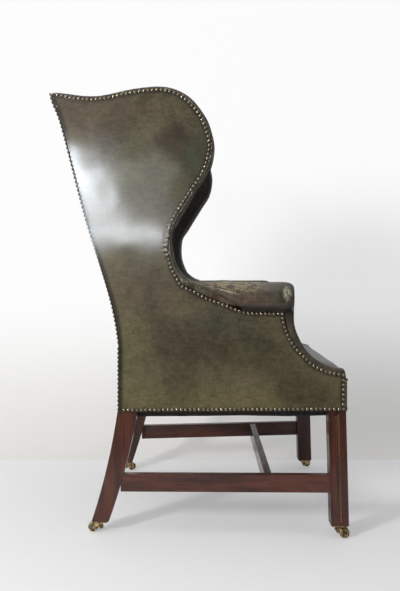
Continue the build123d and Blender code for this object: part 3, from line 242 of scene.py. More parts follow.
class Graph:
    """A node tree with a short way to add a node, set its inputs and link others to it."""

    def __init__(self, tree):
        self.tree = tree

    def put(self, value, socket):
        """Gives a socket its plain value, or links it to another node's output."""
        if isinstance(value, bpy.types.NodeSocket):
            self.tree.links.new(value, socket)
        else:
            socket.default_value = value

    def add(self, kind, inputs=None, **settings):
        node = self.tree.nodes.new(kind)
        for key, value in settings.items():
            setattr(node, key, value)
        for key, value in (inputs or {}).items():
            self.put(value, node.inputs[key])
        return node

    def math(self, operation, *values):
        return self.add(
            "ShaderNodeMath", dict(enumerate(values)), operation=operation).outputs[0]

    def times(self, first, second):
        return self.math("MULTIPLY", first, second)

    def plus(self, first, second):
        return self.math("ADD", first, second)

    def vector(self, operation, *values):
        return self.add(
            "ShaderNodeVectorMath", dict(enumerate(values)), operation=operation).outputs

    def mix(self, factor, first, second):
        return self.add(
            "ShaderNodeMix", {0: factor, 6: first, 7: second}, data_type="RGBA").outputs[2]

    def noise(self, vector, scale, detail=3.0, roughness=0.55, distortion=0.0):
        return self.add("ShaderNodeTexNoise", {
            "Vector": vector, "Scale": scale, "Detail": detail, "Roughness": roughness,
            "Distortion": distortion}).outputs["Fac"]

    def step(self, value, low, high, first=0.0, last=1.0):
        return self.add("ShaderNodeMapRange", {
            "Value": value, "From Min": low, "From Max": high, "To Min": first,
            "To Max": last}, interpolation_type="SMOOTHSTEP").outputs["Result"]


def rgb(red, green, blue):
    return (red, green, blue, 1.0)


# The room that the leather and the brass mirror: dim behind the camera, white where it looks
DIM_ROOM, PALE_ROOM = rgb(0.11, 0.115, 0.125), rgb(0.8, 0.81, 0.83)
world = bpy.data.worlds.new("room")
scene.world = world
world.use_nodes = True
world.node_tree.nodes.clear()
room = Graph(world.node_tree)
path = room.add("ShaderNodeLightPath")
toward = room.add("ShaderNodeSeparateXYZ", {
    "Vector": room.add("ShaderNodeTexCoord").outputs["Generated"]})
wall_side = room.step(toward.outputs["X"], -0.25, 0.5)
overhead = room.step(toward.outputs["Z"], 0.3, 0.9)
white_ray = room.math(
    "MAXIMUM", room.math(
        "MAXIMUM", path.outputs["Is Camera Ray"], path.outputs["Is Transmission Ray"]),
    room.times(path.outputs["Is Glossy Ray"], wall_side))
surround = room.mix(
    room.math("MAXIMUM", wall_side, room.times(overhead, 0.55)), DIM_ROOM, PALE_ROOM)
seen = room.mix(white_ray, surround, rgb(1, 1, 1))
backdrop_light = room.add("ShaderNodeBackground", {"Color": seen, "Strength": 1.0})
room.add("ShaderNodeOutputWorld", {"Surface": backdrop_light.outputs[0]})


def new_group(name, inputs, outputs):
    """A node group with named sockets, and its graph, input node and output node."""
    tree = bpy.data.node_groups.new(name, "ShaderNodeTree")
    for label, kind, value in inputs:
        socket = tree.interface.new_socket(label, in_out="INPUT", socket_type=kind)
        if value is not None:
            socket.default_value = value
    for label, kind in outputs:
        tree.interface.new_socket(label, in_out="OUTPUT", socket_type=kind)
    graph = Graph(tree)
    return graph, graph.add("NodeGroupInput").outputs, graph.add("NodeGroupOutput").inputs


COLOR, FLOAT, VECTOR = "NodeSocketColor", "NodeSocketFloat", "NodeSocketVector"

# Leather: patches of patina, cloudy mottling, fine pores and flecks
graph, given, out = new_group("leather_patina", [
    ("Vector", VECTOR, None), ("Tone", COLOR, rgb(0.08, 0.07, 0.04)),
    ("Dark", FLOAT, 0.6), ("Light", FLOAT, 1.45), ("Patches", FLOAT, 6.0),
    ("Gloss", FLOAT, 0.4)], [
    ("Color", COLOR), ("Roughness", FLOAT), ("Height", FLOAT)])
cloud = graph.noise(given["Vector"], given["Patches"], 4.0, 0.6, 0.5)
dapple = graph.noise(given["Vector"], graph.times(given["Patches"], 6.0), 5.0, 0.65)
fleck = graph.noise(given["Vector"], 230.0, 4.0, 0.75)
drawn = graph.add("ShaderNodeMapping", {
    "Vector": given["Vector"], "Scale": (1, 0.4, 1)}).outputs[0]
drawn = graph.noise(drawn, 130.0, 5.0, 0.7)
shade = graph.step(cloud, 0.33, 0.66, -0.5, 0.5)
shade = graph.plus(shade, graph.step(dapple, 0.35, 0.68, -0.28, 0.28))
shade = graph.plus(shade, graph.step(fleck, 0.34, 0.70, -0.42, 0.42))
shade = graph.plus(shade, graph.step(drawn, 0.36, 0.66, -0.34, 0.34))
shade = graph.add("ShaderNodeMapRange", {
    "Value": shade, "From Min": -1.0, "From Max": 1.0, "To Min": given["Dark"],
    "To Max": given["Light"]}).outputs["Result"]
toned = graph.add("ShaderNodeVectorMath", {
    0: given["Tone"], "Scale": shade}, operation="SCALE").outputs[0]
pores = graph.add("ShaderNodeTexVoronoi", {
    "Vector": given["Vector"], "Scale": 560.0}, feature="F1").outputs["Distance"]
graph.put(toned, out["Color"])
graph.put(graph.plus(
    given["Gloss"], graph.times(graph.math("SUBTRACT", dapple, 0.5), 0.3)), out["Roughness"])
graph.put(graph.plus(graph.times(pores, 0.45), graph.times(dapple, 0.9)), out["Height"])

# A soft-edged spot of an ellipsoid's shape
graph, given, out = new_group("soft_spot", [
    ("Vector", VECTOR, None), ("Center", VECTOR, None), ("Size", VECTOR, None),
    ("Ragged", FLOAT, 0.35), ("Strength", FLOAT, 1.0)], [("Mask", FLOAT)])
away = graph.vector("SUBTRACT", given["Vector"], given["Center"])[0]
away = graph.vector("LENGTH", graph.vector("DIVIDE", away, given["Size"])[0])["Value"]
ragged = graph.noise(given["Vector"], 24.0, 4.0, 0.6)
away = graph.plus(away, graph.times(
    graph.math("SUBTRACT", ragged, 0.5), graph.times(given["Ragged"], 2.0)))
graph.put(graph.times(graph.step(away, 1.0, 0.35), given["Strength"]), out["Mask"])

# Worn crackle: pale lines between small plates of old finish
graph, given, out = new_group("crackle", [
    ("Vector", VECTOR, None), ("Scale", FLOAT, 150.0), ("Share", FLOAT, 0.5)], [
    ("Mask", FLOAT)])
bend = graph.add("ShaderNodeTexNoise", {
    "Vector": given["Vector"], "Scale": 60.0, "Detail": 3.0})
bent = graph.vector("MULTIPLY", bend.outputs["Color"], (0.012, 0.012, 0.012))[0]
bent = graph.vector("ADD", given["Vector"], bent)[0]
plates = graph.add("ShaderNodeTexVoronoi", {
    "Vector": bent, "Scale": given["Scale"]}, feature="DISTANCE_TO_EDGE").outputs["Distance"]
patchy = graph.noise(given["Vector"], 55.0, 4.0, 0.7)
lines = graph.step(plates, 0.16, 0.02)
worn = graph.step(patchy, graph.math("SUBTRACT", 1.02, given["Share"]), graph.math(
    "SUBTRACT", 1.14, given["Share"]))
graph.put(graph.times(lines, worn), out["Mask"])

# Wood: long dark streaks and fine open pores along the grain
graph, given, out = new_group("wood_figure", [
    ("Vector", VECTOR, None), ("Dark", COLOR, rgb(0.02, 0.008, 0.005)),
    ("Light", COLOR, rgb(0.09, 0.03, 0.018)), ("Gloss", FLOAT, 0.3)], [
    ("Color", COLOR), ("Roughness", FLOAT), ("Height", FLOAT)])
streak = graph.noise(given["Vector"], 26.0, 5.0, 0.62, 0.35)
pore = graph.noise(given["Vector"], 260.0, 3.0, 0.6)
tone = graph.mix(graph.step(streak, 0.29, 0.65), given["Dark"], given["Light"])
tone = graph.mix(graph.times(graph.step(pore, 0.5, 0.36), 0.45), tone, given["Dark"])
graph.put(tone, out["Color"])
graph.put(graph.plus(
    given["Gloss"], graph.times(graph.step(pore, 0.4, 0.6), 0.12)), out["Roughness"])
graph.put(graph.plus(graph.times(streak, 0.4), pore), out["Height"])

# Metal tarnish: dull hollows and bright rubbed spots
graph, given, out = new_group("tarnish", [
    ("Vector", VECTOR, None), ("Bright", COLOR, rgb(0.6, 0.45, 0.2)),
    ("Dull", COLOR, rgb(0.12, 0.08, 0.04)), ("Scale", FLOAT, 120.0), ("Share", FLOAT, 0.5)], [
    ("Color", COLOR), ("Roughness", FLOAT), ("Height", FLOAT)])
spots = graph.noise(given["Vector"], given["Scale"], 4.0, 0.6)
dulled = graph.step(
    spots, graph.plus(given["Share"], -0.12), graph.plus(given["Share"], 0.12))
graph.put(graph.mix(dulled, given["Bright"], given["Dull"]), out["Color"])
graph.put(graph.plus(0.24, graph.times(dulled, 0.28)), out["Roughness"])
graph.put(spots, out["Height"])


def started(name, stretch=(1, 1, 1)):
    """A new material's graph and the place on the object, stretched along the grain."""
    made = bpy.data.materials.new(name)
    made.use_nodes = True
    made.node_tree.nodes.clear()
    graph = Graph(made.node_tree)
    place = graph.add("ShaderNodeTexCoord").outputs["Object"]
    if stretch != (1, 1, 1):
        place = graph.add("ShaderNodeMapping", {"Vector": place, "Scale": stretch}).outputs[0]
    return made, graph, place


def effect(graph, group, place, values):
    """Places a node group in a material, and gives its outputs."""
    return graph.add(
        "ShaderNodeGroup", {"Vector": place, **values},
        node_tree=bpy.data.node_groups[group]).outputs


def finished(graph, finish, strength, distance, color=None, height=None, **surface):
    """The material's shader over a finish's colour, roughness and height, the last as bump."""
    relief = graph.add("ShaderNodeBump", {
        "Strength": strength, "Distance": distance, "Height": height or finish["Height"]})
    skin = graph.add("ShaderNodeBsdfPrincipled", {
        "Base Color": color or finish["Color"], "Roughness": finish["Roughness"],
        "Normal": relief.outputs[0]})
    for key, value in surface.items():
        graph.put(value, skin.inputs[key.replace("_", " ")])
    graph.add("ShaderNodeOutputMaterial", {"Surface": skin.outputs[0]})


def zoned(graph, place, base, zones):
    """The base colour with soft spots of other colours over it, by place."""
    color = base
    for center, size, tint, strength in zones:
        mask = effect(graph, "soft_spot", place, {
            "Center": center, "Size": size, "Strength": strength})["Mask"]
        color = graph.mix(mask, color, tint)
    return color


# The outside leather, olive with brown clouds, darkened along its cut edge and between the
# nails by grime and painted shade.
# A zone has its centre, its size, its colour and its strength. WIDE takes in the whole width.
WIDE = 9.0
panel_leather, graph, place = started("panel_leather")
tone = zoned(graph, place, rgb(0.104, 0.086, 0.046), [
    ((0, 0.27, 1.09), (WIDE, 0.16, 0.10), rgb(0.098, 0.070, 0.040), 0.9),
    ((0, 0.15, 0.93), (WIDE, 0.15, 0.12), rgb(0.100, 0.090, 0.048), 0.8),
    ((0, 0.055, 1.00), (WIDE, 0.075, 0.07), rgb(0.044, 0.029, 0.015), 0.9),
    ((0, 0.005, 0.95), (WIDE, 0.06, 0.12), rgb(0.048, 0.048, 0.026), 0.9),
    ((0, 0.12, 1.10), (WIDE, 0.09, 0.05), rgb(0.112, 0.085, 0.048), 0.7),
    ((0, 0.12, 0.62), (WIDE, 0.16, 0.09), rgb(0.100, 0.076, 0.044), 0.8),
    ((0, 0.02, 0.50), (WIDE, 0.16, 0.08), rgb(0.072, 0.053, 0.032), 0.8),
    ((0, 0.17, 0.45), (WIDE, 0.08, 0.16), rgb(0.112, 0.102, 0.048), 0.8),
    ((0, -0.06, 0.545), (WIDE, 0.09, 0.05), rgb(0.064, 0.064, 0.042), 0.6),
    ((0, -0.13, 0.47), (WIDE, 0.10, 0.07), rgb(0.062, 0.053, 0.025), 0.8),
    ((0, -0.02, 0.345), (WIDE, 0.36, 0.05), rgb(0.122, 0.104, 0.047), 0.9),
    ((0, -0.27, 0.37), (WIDE, 0.11, 0.05), rgb(0.074, 0.062, 0.030), 0.8)])
# Grime and painted shade: the leather is darkened within about 13 mm of its nailed and cut
# edge, standing in for the shadow between the nails
rim = graph.add("ShaderNodeAttribute", attribute_name="rim").outputs["Fac"]
rim = graph.plus(rim, graph.times(
    graph.math("SUBTRACT", graph.noise(place, 60.0), 0.5), 0.006))
tone = graph.mix(graph.step(rim, 0.0135, 0.004, 0.0, 0.85), tone, rgb(0.018, 0.013, 0.008))
# Two groups of fine scratches: centre, size and turn
for center, size, turn in (
        ((0, 0.030, 1.048), (WIDE, 0.016, 0.010), -0.7),
        ((0, 0.118, 0.947), (WIDE, 0.024, 0.010), -0.15)):
    turned = graph.add("ShaderNodeMapping", {
        "Vector": place, "Rotation": (turn, 0, 0), "Scale": (1, 6, 90)}).outputs[0]
    scratches = graph.step(graph.noise(turned, 8.0, 2.0), 0.60, 0.66)
    spot = effect(graph, "soft_spot", place, {"Center": center, "Size": size})["Mask"]
    tone = graph.mix(
        graph.times(graph.times(scratches, spot), 0.5), tone, rgb(0.22, 0.20, 0.15))
patina = effect(graph, "leather_patina", place, {"Tone": tone, "Patches": 7.0, "Gloss": 0.42})
finished(
    graph, patina, 0.16, 0.0006,
    Coat_Weight=0.85, Coat_Roughness=0.105, Specular_IOR_Level=0.12)


def plain_leather(name, tone, gloss, relief, **surface):
    """Leather of one tone, away from the light."""
    made, graph, place = started(name)
    patina = effect(graph, "leather_patina", place, {
        "Tone": tone, "Patches": 8.0, "Gloss": gloss})
    finished(graph, patina, relief, 0.0006, **surface)
    return made


inside_leather = plain_leather(
    "inside_leather", rgb(0.046, 0.039, 0.028), 0.42, 0.2,
    Coat_Weight=0.5, Coat_Roughness=0.22, Specular_IOR_Level=0.2)
# The seat's lighter, greyer tone is partly pale dusty bloom and partly painted sheen, for light
# glancing off the seat
seat_leather = plain_leather(
    "seat_leather", rgb(0.098, 0.091, 0.079), 0.4, 0.15,
    Coat_Weight=1.0, Coat_Roughness=0.2, Specular_IOR_Level=0.5)

# The sides' leather, rubbed pale on top of the arms' rolls, with painted shade below them and
# painted light on the wings' outer edge band
side_leather, graph, place = started("side_leather")
# Painted light: the same leather is painted lighter on the wings' outer edge band, where light
# falls, than on the inside faces
outwards = graph.math("ABSOLUTE", graph.add(
    "ShaderNodeSeparateXYZ", {"Vector": place}).outputs["X"])
tone = graph.mix(
    graph.step(outwards, 0.300, 0.312), rgb(0.046, 0.038, 0.028), rgb(0.072, 0.062, 0.042))
tone = zoned(graph, place, tone, [
    # Painted shade under the overhang of the arm's roll
    ((0, -0.10, 0.572), (WIDE, 0.30, 0.055), rgb(0.026, 0.017, 0.014), 1.0),
    ((0, -0.12, 0.602), (WIDE, 0.16, 0.022), rgb(0.125, 0.084, 0.056), 0.9),
    ((0, -0.14, 0.646), (WIDE, 0.22, 0.036), rgb(0.074, 0.061, 0.036), 1.0),
    ((0, -0.205, 0.625), (WIDE, 0.045, 0.05), rgb(0.066, 0.062, 0.044), 0.9),
    ((0, -0.255, 0.52), (WIDE, 0.05, 0.07), rgb(0.072, 0.062, 0.042), 0.9)])
patina = effect(graph, "leather_patina", place, {"Tone": tone, "Patches": 14.0, "Gloss": 0.42})
crackle = effect(graph, "crackle", place, {"Scale": 250.0, "Share": 0.60})["Mask"]
roll_top = effect(graph, "soft_spot", place, {
    "Center": (0, -0.085, 0.640), "Size": (WIDE, 0.12, 0.030), "Strength": 1.0})["Mask"]
rubbed = effect(graph, "soft_spot", place, {
    "Center": (0, -0.2215, 0.6165), "Size": (WIDE, 0.015, 0.024), "Strength": 1.0})["Mask"]
grimy = effect(graph, "soft_spot", place, {
    "Center": (0, -0.2215, 0.6165), "Size": (WIDE, 0.030, 0.040), "Strength": 0.5})["Mask"]
tone = graph.mix(graph.times(crackle, roll_top), patina["Color"], rgb(0.40, 0.31, 0.17))
tone = graph.mix(grimy, tone, rgb(0.020, 0.022, 0.016))
pleats = graph.add("ShaderNodeMapping", {"Vector": place, "Scale": (1, 1, 0.22)}).outputs[0]
tone = graph.mix(graph.times(rubbed, graph.step(
    graph.noise(pleats, 260.0, 6.0, 0.85), 0.44, 0.56)), tone, rgb(0.55, 0.50, 0.37))
sunk = graph.times(crackle, graph.times(roll_top, -0.8))
finished(
    graph, patina, 0.3, 0.0006, tone, graph.plus(patina["Height"], sunk),
    Coat_Weight=0.55, Coat_Roughness=0.2, Specular_IOR_Level=0.15)


def wood(name, stretch, dark, light, gloss, coat):
    """Wood, or cloth with a thread, whose figure runs along the axis stretched least."""
    made, graph, place = started(name, stretch)
    figure = effect(graph, "wood_figure", place, {"Dark": dark, "Light": light, "Gloss": gloss})
    finished(
        graph, figure, 0.15, 0.0005,
        Coat_Weight=coat, Coat_Roughness=0.16, Specular_IOR_Level=0.2)
    return made


MAHOGANY = rgb(0.015, 0.0048, 0.0032), rgb(0.105, 0.028, 0.014), 0.42, 0.6
upright_wood = wood("mahogany_upright", (1, 1, 0.07), *MAHOGANY)
long_wood = wood("mahogany_long", (1, 0.07, 1), *MAHOGANY)
cross_wood = wood("mahogany_cross", (0.07, 1, 1), *MAHOGANY[:3], 1.0)

# The carved beads are rubbed light, on a channel ground painted near black as shade in its
# recess
bead_wood, graph, place = started("mahogany_beads", (1, 1, 0.2))
figure = effect(graph, "wood_figure", place, {
    "Dark": rgb(0.09, 0.035, 0.020), "Light": rgb(0.23, 0.10, 0.055), "Gloss": 0.4})
shade = graph.add("ShaderNodeAttribute", attribute_name="rubbed").outputs["Fac"]
finished(
    graph, figure, 0.1, 0.0003, graph.mix(shade, rgb(0.006, 0.003, 0.002), figure["Color"]),
    Coat_Weight=0.4, Coat_Roughness=0.2, Specular_IOR_Level=0.2)
frame_wood = wood(
    "beech_frame", (1, 0.1, 1), rgb(0.26, 0.16, 0.08), rgb(0.5, 0.36, 0.22), 0.6, 0.0)
jute = wood("jute", (3, 3, 3), rgb(0.2, 0.14, 0.08), rgb(0.45, 0.34, 0.2), 0.8, 0.0)
dust_cotton = wood(
    "dust_cotton", (2, 4, 2), rgb(0.012, 0.011, 0.010), rgb(0.03, 0.027, 0.024), 0.8, 0.0)


def metal(name, bright, dull, scale, share):
    made, graph, place = started(name)
    worn = effect(graph, "tarnish", place, {
        "Bright": bright, "Dull": dull, "Scale": scale, "Share": share})
    finished(graph, worn, 0.1, 0.0003, Metallic=1.0)
    return made


nail_brass = metal(
    "nail_brass", rgb(0.29, 0.245, 0.17), rgb(0.16, 0.13, 0.09), 95.0, 0.50)
castor_brass = metal(
    "castor_brass", rgb(0.78, 0.62, 0.34), rgb(0.12, 0.075, 0.032), 110.0, 0.47)
steel = metal("steel", rgb(0.5, 0.48, 0.45), rgb(0.16, 0.14, 0.12), 120.0, 0.5)


# Words in the names of the frame's solids, and the material that the first match gives
DRESSING = [
    (("front_leg", "rear_leg"), upright_wood), (("side_stretcher",), long_wood),
    (("cross_stretcher",), cross_wood), (("castor_axle", "castor_screws"), steel),
    (("castor",), castor_brass), (("nails",), nail_brass), (("webbing", "hessian"), jute),
    (("dust_cloth",), dust_cotton), (("outside_back", "front_border", "panel"), panel_leather),
    (("leather", "stuffing"), inside_leather), (("",), frame_wood)]
for name, piece in nodes.items():
    made = next(made for words, made in DRESSING if any(word in name for word in words))
    piece.data.materials.clear()
    piece.data.materials.append(made)
    for face in piece.data.polygons:
        face.material_index = 0


def new_piece(name, vertices, faces, made):
    mesh = bpy.data.meshes.new(name)
    mesh.from_pydata([tuple(v) for v in vertices], [], faces)
    mesh.validate()
    piece = bpy.data.objects.new(name, mesh)
    scene.collection.objects.link(piece)
    return finish_piece(piece, made)


def mark(piece, label, values):
    """Keeps a value for each vertex, for the material to read."""
    kept = piece.data.attributes.new(label, "FLOAT", "POINT")
    kept.data.foreach_set("value", values)


def finish_piece(piece, made):
    piece.data.materials.clear()
    piece.data.materials.append(made)
    piece.data.polygons.foreach_set("use_smooth", [True] * len(piece.data.polygons))
    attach(piece, "chair")
    return piece


def applied(piece):
    """Applies the piece's modifiers to its mesh."""
    depsgraph = bpy.context.evaluated_depsgraph_get()
    mesh = bpy.data.meshes.new_from_object(piece.evaluated_get(depsgraph))
    piece.modifiers.clear()
    piece.data = mesh
    return piece


def places_of(piece):
    places = np.empty(len(piece.data.vertices) * 3)
    piece.data.vertices.foreach_get("co", places)
    return places.reshape(-1, 3)


def put_places(piece, places):
    piece.data.vertices.foreach_set("co", places.ravel())
    piece.data.update()


def eased(piece, weight, rounds):
    """Evens out the surface where the weight, 0 to 1 for each vertex, allows it."""
    edges = np.empty(len(piece.data.edges) * 2, int)
    piece.data.edges.foreach_get("vertices", edges)
    a, b = edges.reshape(-1, 2).T
    count = np.bincount(a, minlength=len(weight)) + np.bincount(b, minlength=len(weight))
    places = places_of(piece)
    for _ in range(rounds):
        mean = np.zeros_like(places)
        np.add.at(mean, a, places[b])
        np.add.at(mean, b, places[a])
        places += weight[:, None] * 0.6 * (mean / count[:, None] - places)
    put_places(piece, places)


def pad_from(name, members, voxel, rounds):
    """A pad that takes the room of the solids that it stands for, as one even skin."""
    sources = []
    for member in members:
        source = bpy.data.objects.new("source", nodes[member].data.copy())
        scene.collection.objects.link(source)
        sources.append(source)
    with bpy.context.temp_override(
            active_object=sources[0], selected_editable_objects=sources,
            object=sources[0], selected_objects=sources):
        bpy.ops.object.join()
    pad = sources[0]
    pad.name = pad.data.name = name
    skin = pad.modifiers.new("skin", "REMESH")
    skin.mode, skin.voxel_size = "VOXEL", voxel
    soften = pad.modifiers.new("soften", "SMOOTH")
    soften.factor, soften.iterations = 0.5, rounds
    return applied(pad)


CLOTH_FRAMES = 20


def swell(pad, start_inset, cap):
    """Blows the pad up under its leather, and lets no point move past the cap."""
    before = places_of(pad)
    shrink = pad.modifiers.new("start", "DISPLACE")
    shrink.strength, shrink.mid_level = -start_inset, 0.0
    applied(pad)
    cloth = pad.modifiers.new("cloth", "CLOTH")
    for key, value in {
            "quality": 5, "mass": 0.4, "tension_stiffness": 30, "compression_stiffness": 30,
            "bending_stiffness": 2, "use_pressure": True,
            "uniform_pressure_force": 4}.items():
        setattr(cloth.settings, key, value)
    cloth.settings.effector_weights.gravity = 0
    cloth.collision_settings.use_collision = False
    scene.frame_start, scene.frame_end = 1, CLOTH_FRAMES
    cloth.point_cache.frame_start, cloth.point_cache.frame_end = 1, CLOTH_FRAMES
    for number in range(1, CLOTH_FRAMES + 1):
        scene.frame_set(number)
    applied(pad)
    scene.frame_set(1)
    moved = places_of(pad) - before
    length = np.linalg.norm(moved, axis=1)
    put_places(pad, before + moved * np.minimum(1, cap / np.maximum(length, 1e-9))[:, None])


def ramp(value, low, high):
    """A smooth rise from 0 at the low value to 1 at the high one."""
    share = np.clip((value - low) / (high - low), 0, 1)
    return share * share * (3 - 2 * share)


def lift_roll(pad):
    """Draws the underside of the arm's roll up where it tapers, clear of the nails."""
    places = places_of(pad)
    x, y, z = places.T
    out = (-x - SIDE_HALF_WIDTH) * SIDE_NORMAL.x + y * SIDE_NORMAL.y
    nail_y, nail_z = np.array(sorted(nail_stretches()[0], key=lambda p: p[0])).T
    keep = nail_z < ARM_TOP
    floor = np.interp(y, nail_y[keep], nail_z[keep]) + 0.0065 * ramp(y, -0.135, -0.105)
    low = ROLL_NAIL_HEIGHT + 0.002
    roll = (out > 0.0008) & (y > -0.128) & (z < ARM_TOP)
    share = np.clip((ARM_TOP - z) / (ARM_TOP - low), 0, 1)
    raised = ARM_TOP - share * (ARM_TOP - np.maximum(floor, low))
    places[:, 2] = np.where(roll & (raised > z), raised, z)
    put_places(pad, places)
    eased(pad, ramp(out, 0.0008, 0.006) * ramp(y, -0.15, -0.10) * (z < ARM_TOP), 14)


def fill_front(pad):
    """Brings the front of the arm's roll and facing out to the full shape."""
    places = places_of(pad)
    y, z = places[:, 1:].T
    y -= 0.0045 * ramp(-y, 0.185, 0.235) * ramp(z, 0.42, 0.58)
    put_places(pad, places)


def shape_seat(pad):
    """Lowers the seat's front shoulder, evens and crowns its top, and tucks in its rear."""
    places = places_of(pad)
    x, y, z = places.T
    inner = ramp(0.262 - np.abs(x), 0, 0.03) * ramp(y, -0.366, -0.335) * ramp(z, 0.405, 0.42)
    z -= 0.010 * ramp(-y, 0.285, 0.345) * ramp(z, 0.405, 0.435)
    put_places(pad, places)
    eased(pad, inner, 160)
    places = places_of(pad)
    x, y, z = places.T
    crown = ramp(0.25 - np.abs(x), 0, 0.2) * ramp(0.19 - np.abs(y + 0.16), 0, 0.15)
    z += 0.005 * crown * ramp(z, 0.41, 0.43)
    y += 0.030 * ramp(y, 0.0, 0.068)
    put_places(pad, places)


def mirrored(piece, name):
    """The piece's twin on the chair's other side."""
    twin = bpy.data.objects.new(name, piece.data.copy())
    scene.collection.objects.link(twin)
    twin.data.transform(((-1, 0, 0, 0), (0, 1, 0, 0), (0, 0, 1, 0), (0, 0, 0, 1)))
    twin.data.flip_normals()
    return twin


# The pads inside the chair: each side with its wing and arm, the back and the tight seat
right_side = pad_from("inside_side_right", [
    "inside_wing_leather_right", "inside_arm_leather_right", "side_stuffing_right"], 0.0035, 5)
lift_roll(right_side)
fill_front(right_side)
left_side = mirrored(right_side, "inside_side_left")
for piece, word in ((right_side, "right"), (left_side, "left")):
    finish_piece(piece, side_leather)
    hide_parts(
        f"inside_wing_leather_{word}", f"inside_arm_leather_{word}",
        f"side_stuffing_{word}")

inside_back = pad_from("inside_back", ["inside_back_leather", "back_stuffing"], 0.007, 6)
swell(inside_back, 0.003, 0.005)
finish_piece(inside_back, inside_leather)
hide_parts("inside_back_leather", "back_stuffing")

seat = pad_from("tight_seat", ["seat_leather", "seat_stuffing"], 0.006, 4)
shape_seat(seat)
swell(seat, 0.0025, 0.004)
finish_piece(seat, seat_leather)
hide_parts("seat_leather", "seat_stuffing")


def clipped_grid(outline, nailed, cell):
    """A grid over the inside of a closed line, its rim drawn onto the line.

    Each place has its distance from the line, and how far round the nailed part the line is
    there, or -1 beside the part without nails.
    """
    line = np.array(outline)
    tree = KDTree(len(line))
    for i, (y, z) in enumerate(line):
        tree.insert((y, z, 0), i)
    tree.balance()
    run = np.concatenate([[0], np.cumsum(np.linalg.norm(np.diff(line, axis=0), axis=1))])
    run[nailed:] = -1
    low, high = line.min(axis=0), line.max(axis=0)
    across = int((high[0] - low[0]) / cell) + 2
    up = int((high[1] - low[1]) / cell) + 2
    ring = np.roll(line, -1, axis=0)
    places, kept = [], {}
    for j in range(up):
        z = low[1] + (j - 0.25) * cell
        crossing = (line[:, 1] > z) != (ring[:, 1] > z)
        a, b = line[crossing], ring[crossing]
        cuts = a[:, 0] + (z - a[:, 1]) / (b[:, 1] - a[:, 1]) * (b[:, 0] - a[:, 0])
        for i in range(across):
            y = low[0] + (i - 0.25) * cell
            (near_y, near_z, _), nearest, gap = tree.find((y, z, 0))
            if (cuts > y).sum() % 2 == 0 and gap > cell * 0.5:
                continue
            kept[i, j] = len(places)
            if gap < cell * 0.5:
                places.append((near_y, near_z, 0.0, run[nearest]))
            else:
                places.append((y, z, gap, run[nearest]))
    faces = [
        (kept[i, j], kept[i + 1, j], kept[i + 1, j + 1], kept[i, j + 1])
        for i, j in kept
        if (i + 1, j) in kept and (i + 1, j + 1) in kept and (i, j + 1) in kept]
    return places, faces


def puckered(depth, along):
    """How far the leather lies in between two nails, near its nailed edge."""
    return -PUCKER * math.exp(-((depth - NAIL_INSET) / 0.006) ** 2) * (
        0.5 + 0.5 * math.cos(along / NAIL_PITCH * math.tau))


def squared_rim(sheet):
    """Shades the cut edge of a sheet and the strip beside it flat."""
    depth = sheet.data.attributes["rim"].data
    for face in sheet.data.polygons:
        if min(depth[corner].value for corner in face.vertices) < RIM_STRIP:
            face.use_smooth = False


# The outside panels, pulled tight over the frame, with small creases at the sweep's foot
OUTSIDE_THICKNESS, EDGE_BEYOND_NAILS, RIM_STRIP, PUCKER = 0.0018, 0.0015, 0.0005, 0.0005
panel_places, panel_faces = clipped_grid(*panel_outline(EDGE_BEYOND_NAILS), 0.003)
for side, word in SIDES:
    vertices = []
    for y, z, depth, along in panel_places:
        settled = 1 - math.exp(-depth / 0.025)
        wave = noise.noise((y * 4.5, z * 4.5, side * 3.1)) * 0.0016
        wave += noise.noise((y * 16, z * 16, side * 7.7)) * 0.0003
        ripple = math.exp(-((y + 0.235) / 0.06) ** 2 - ((z - 0.392) / 0.022) ** 2)
        wave += ripple * math.sin((z + 0.12 * y) / 0.011 * math.tau) * 0.0007
        if along > 0:
            wave += puckered(depth, along)
        vertices.append(on_side(y, z, wave * settled - 0.0004, side))
    faces = panel_faces if side == RIGHT else [face[::-1] for face in panel_faces]
    panel = new_piece(
        f"outside_leather_{word}", vertices, faces, panel_leather)
    mark(panel, "rim", [depth for _, _, depth, _ in panel_places])
    thick = panel.modifiers.new("thickness", "SOLIDIFY")
    thick.thickness, thick.offset = OUTSIDE_THICKNESS, -1
    applied(panel)
    squared_rim(panel)
    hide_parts(f"outside_panel_{word}")


def side_x(y, out):
    """How far from the middle the side is at a depth, moved out by a length."""
    return SIDE_HALF_WIDTH - y * math.tan(TOE) + out / math.cos(TOE)


def skin(name, rows, made, slot, thickness, backwards=False, depths=None):
    """A sheet through rows of points, with a thickness under its face.

    Its depths are each point's distance from the cut edge.
    """
    width = len(rows[0])
    faces = [
        (j * width + i, j * width + i + 1, (j + 1) * width + i + 1, (j + 1) * width + i)
        for j in range(len(rows) - 1) for i in range(width - 1)]
    if backwards:
        faces = [face[::-1] for face in faces]
    piece = new_piece(name, [p for row in rows for p in row], faces, made)
    if depths:
        mark(piece, "rim", depths)
    thick = piece.modifiers.new("thickness", "SOLIDIFY")
    thick.thickness, thick.offset = thickness, -1
    return applied(piece)


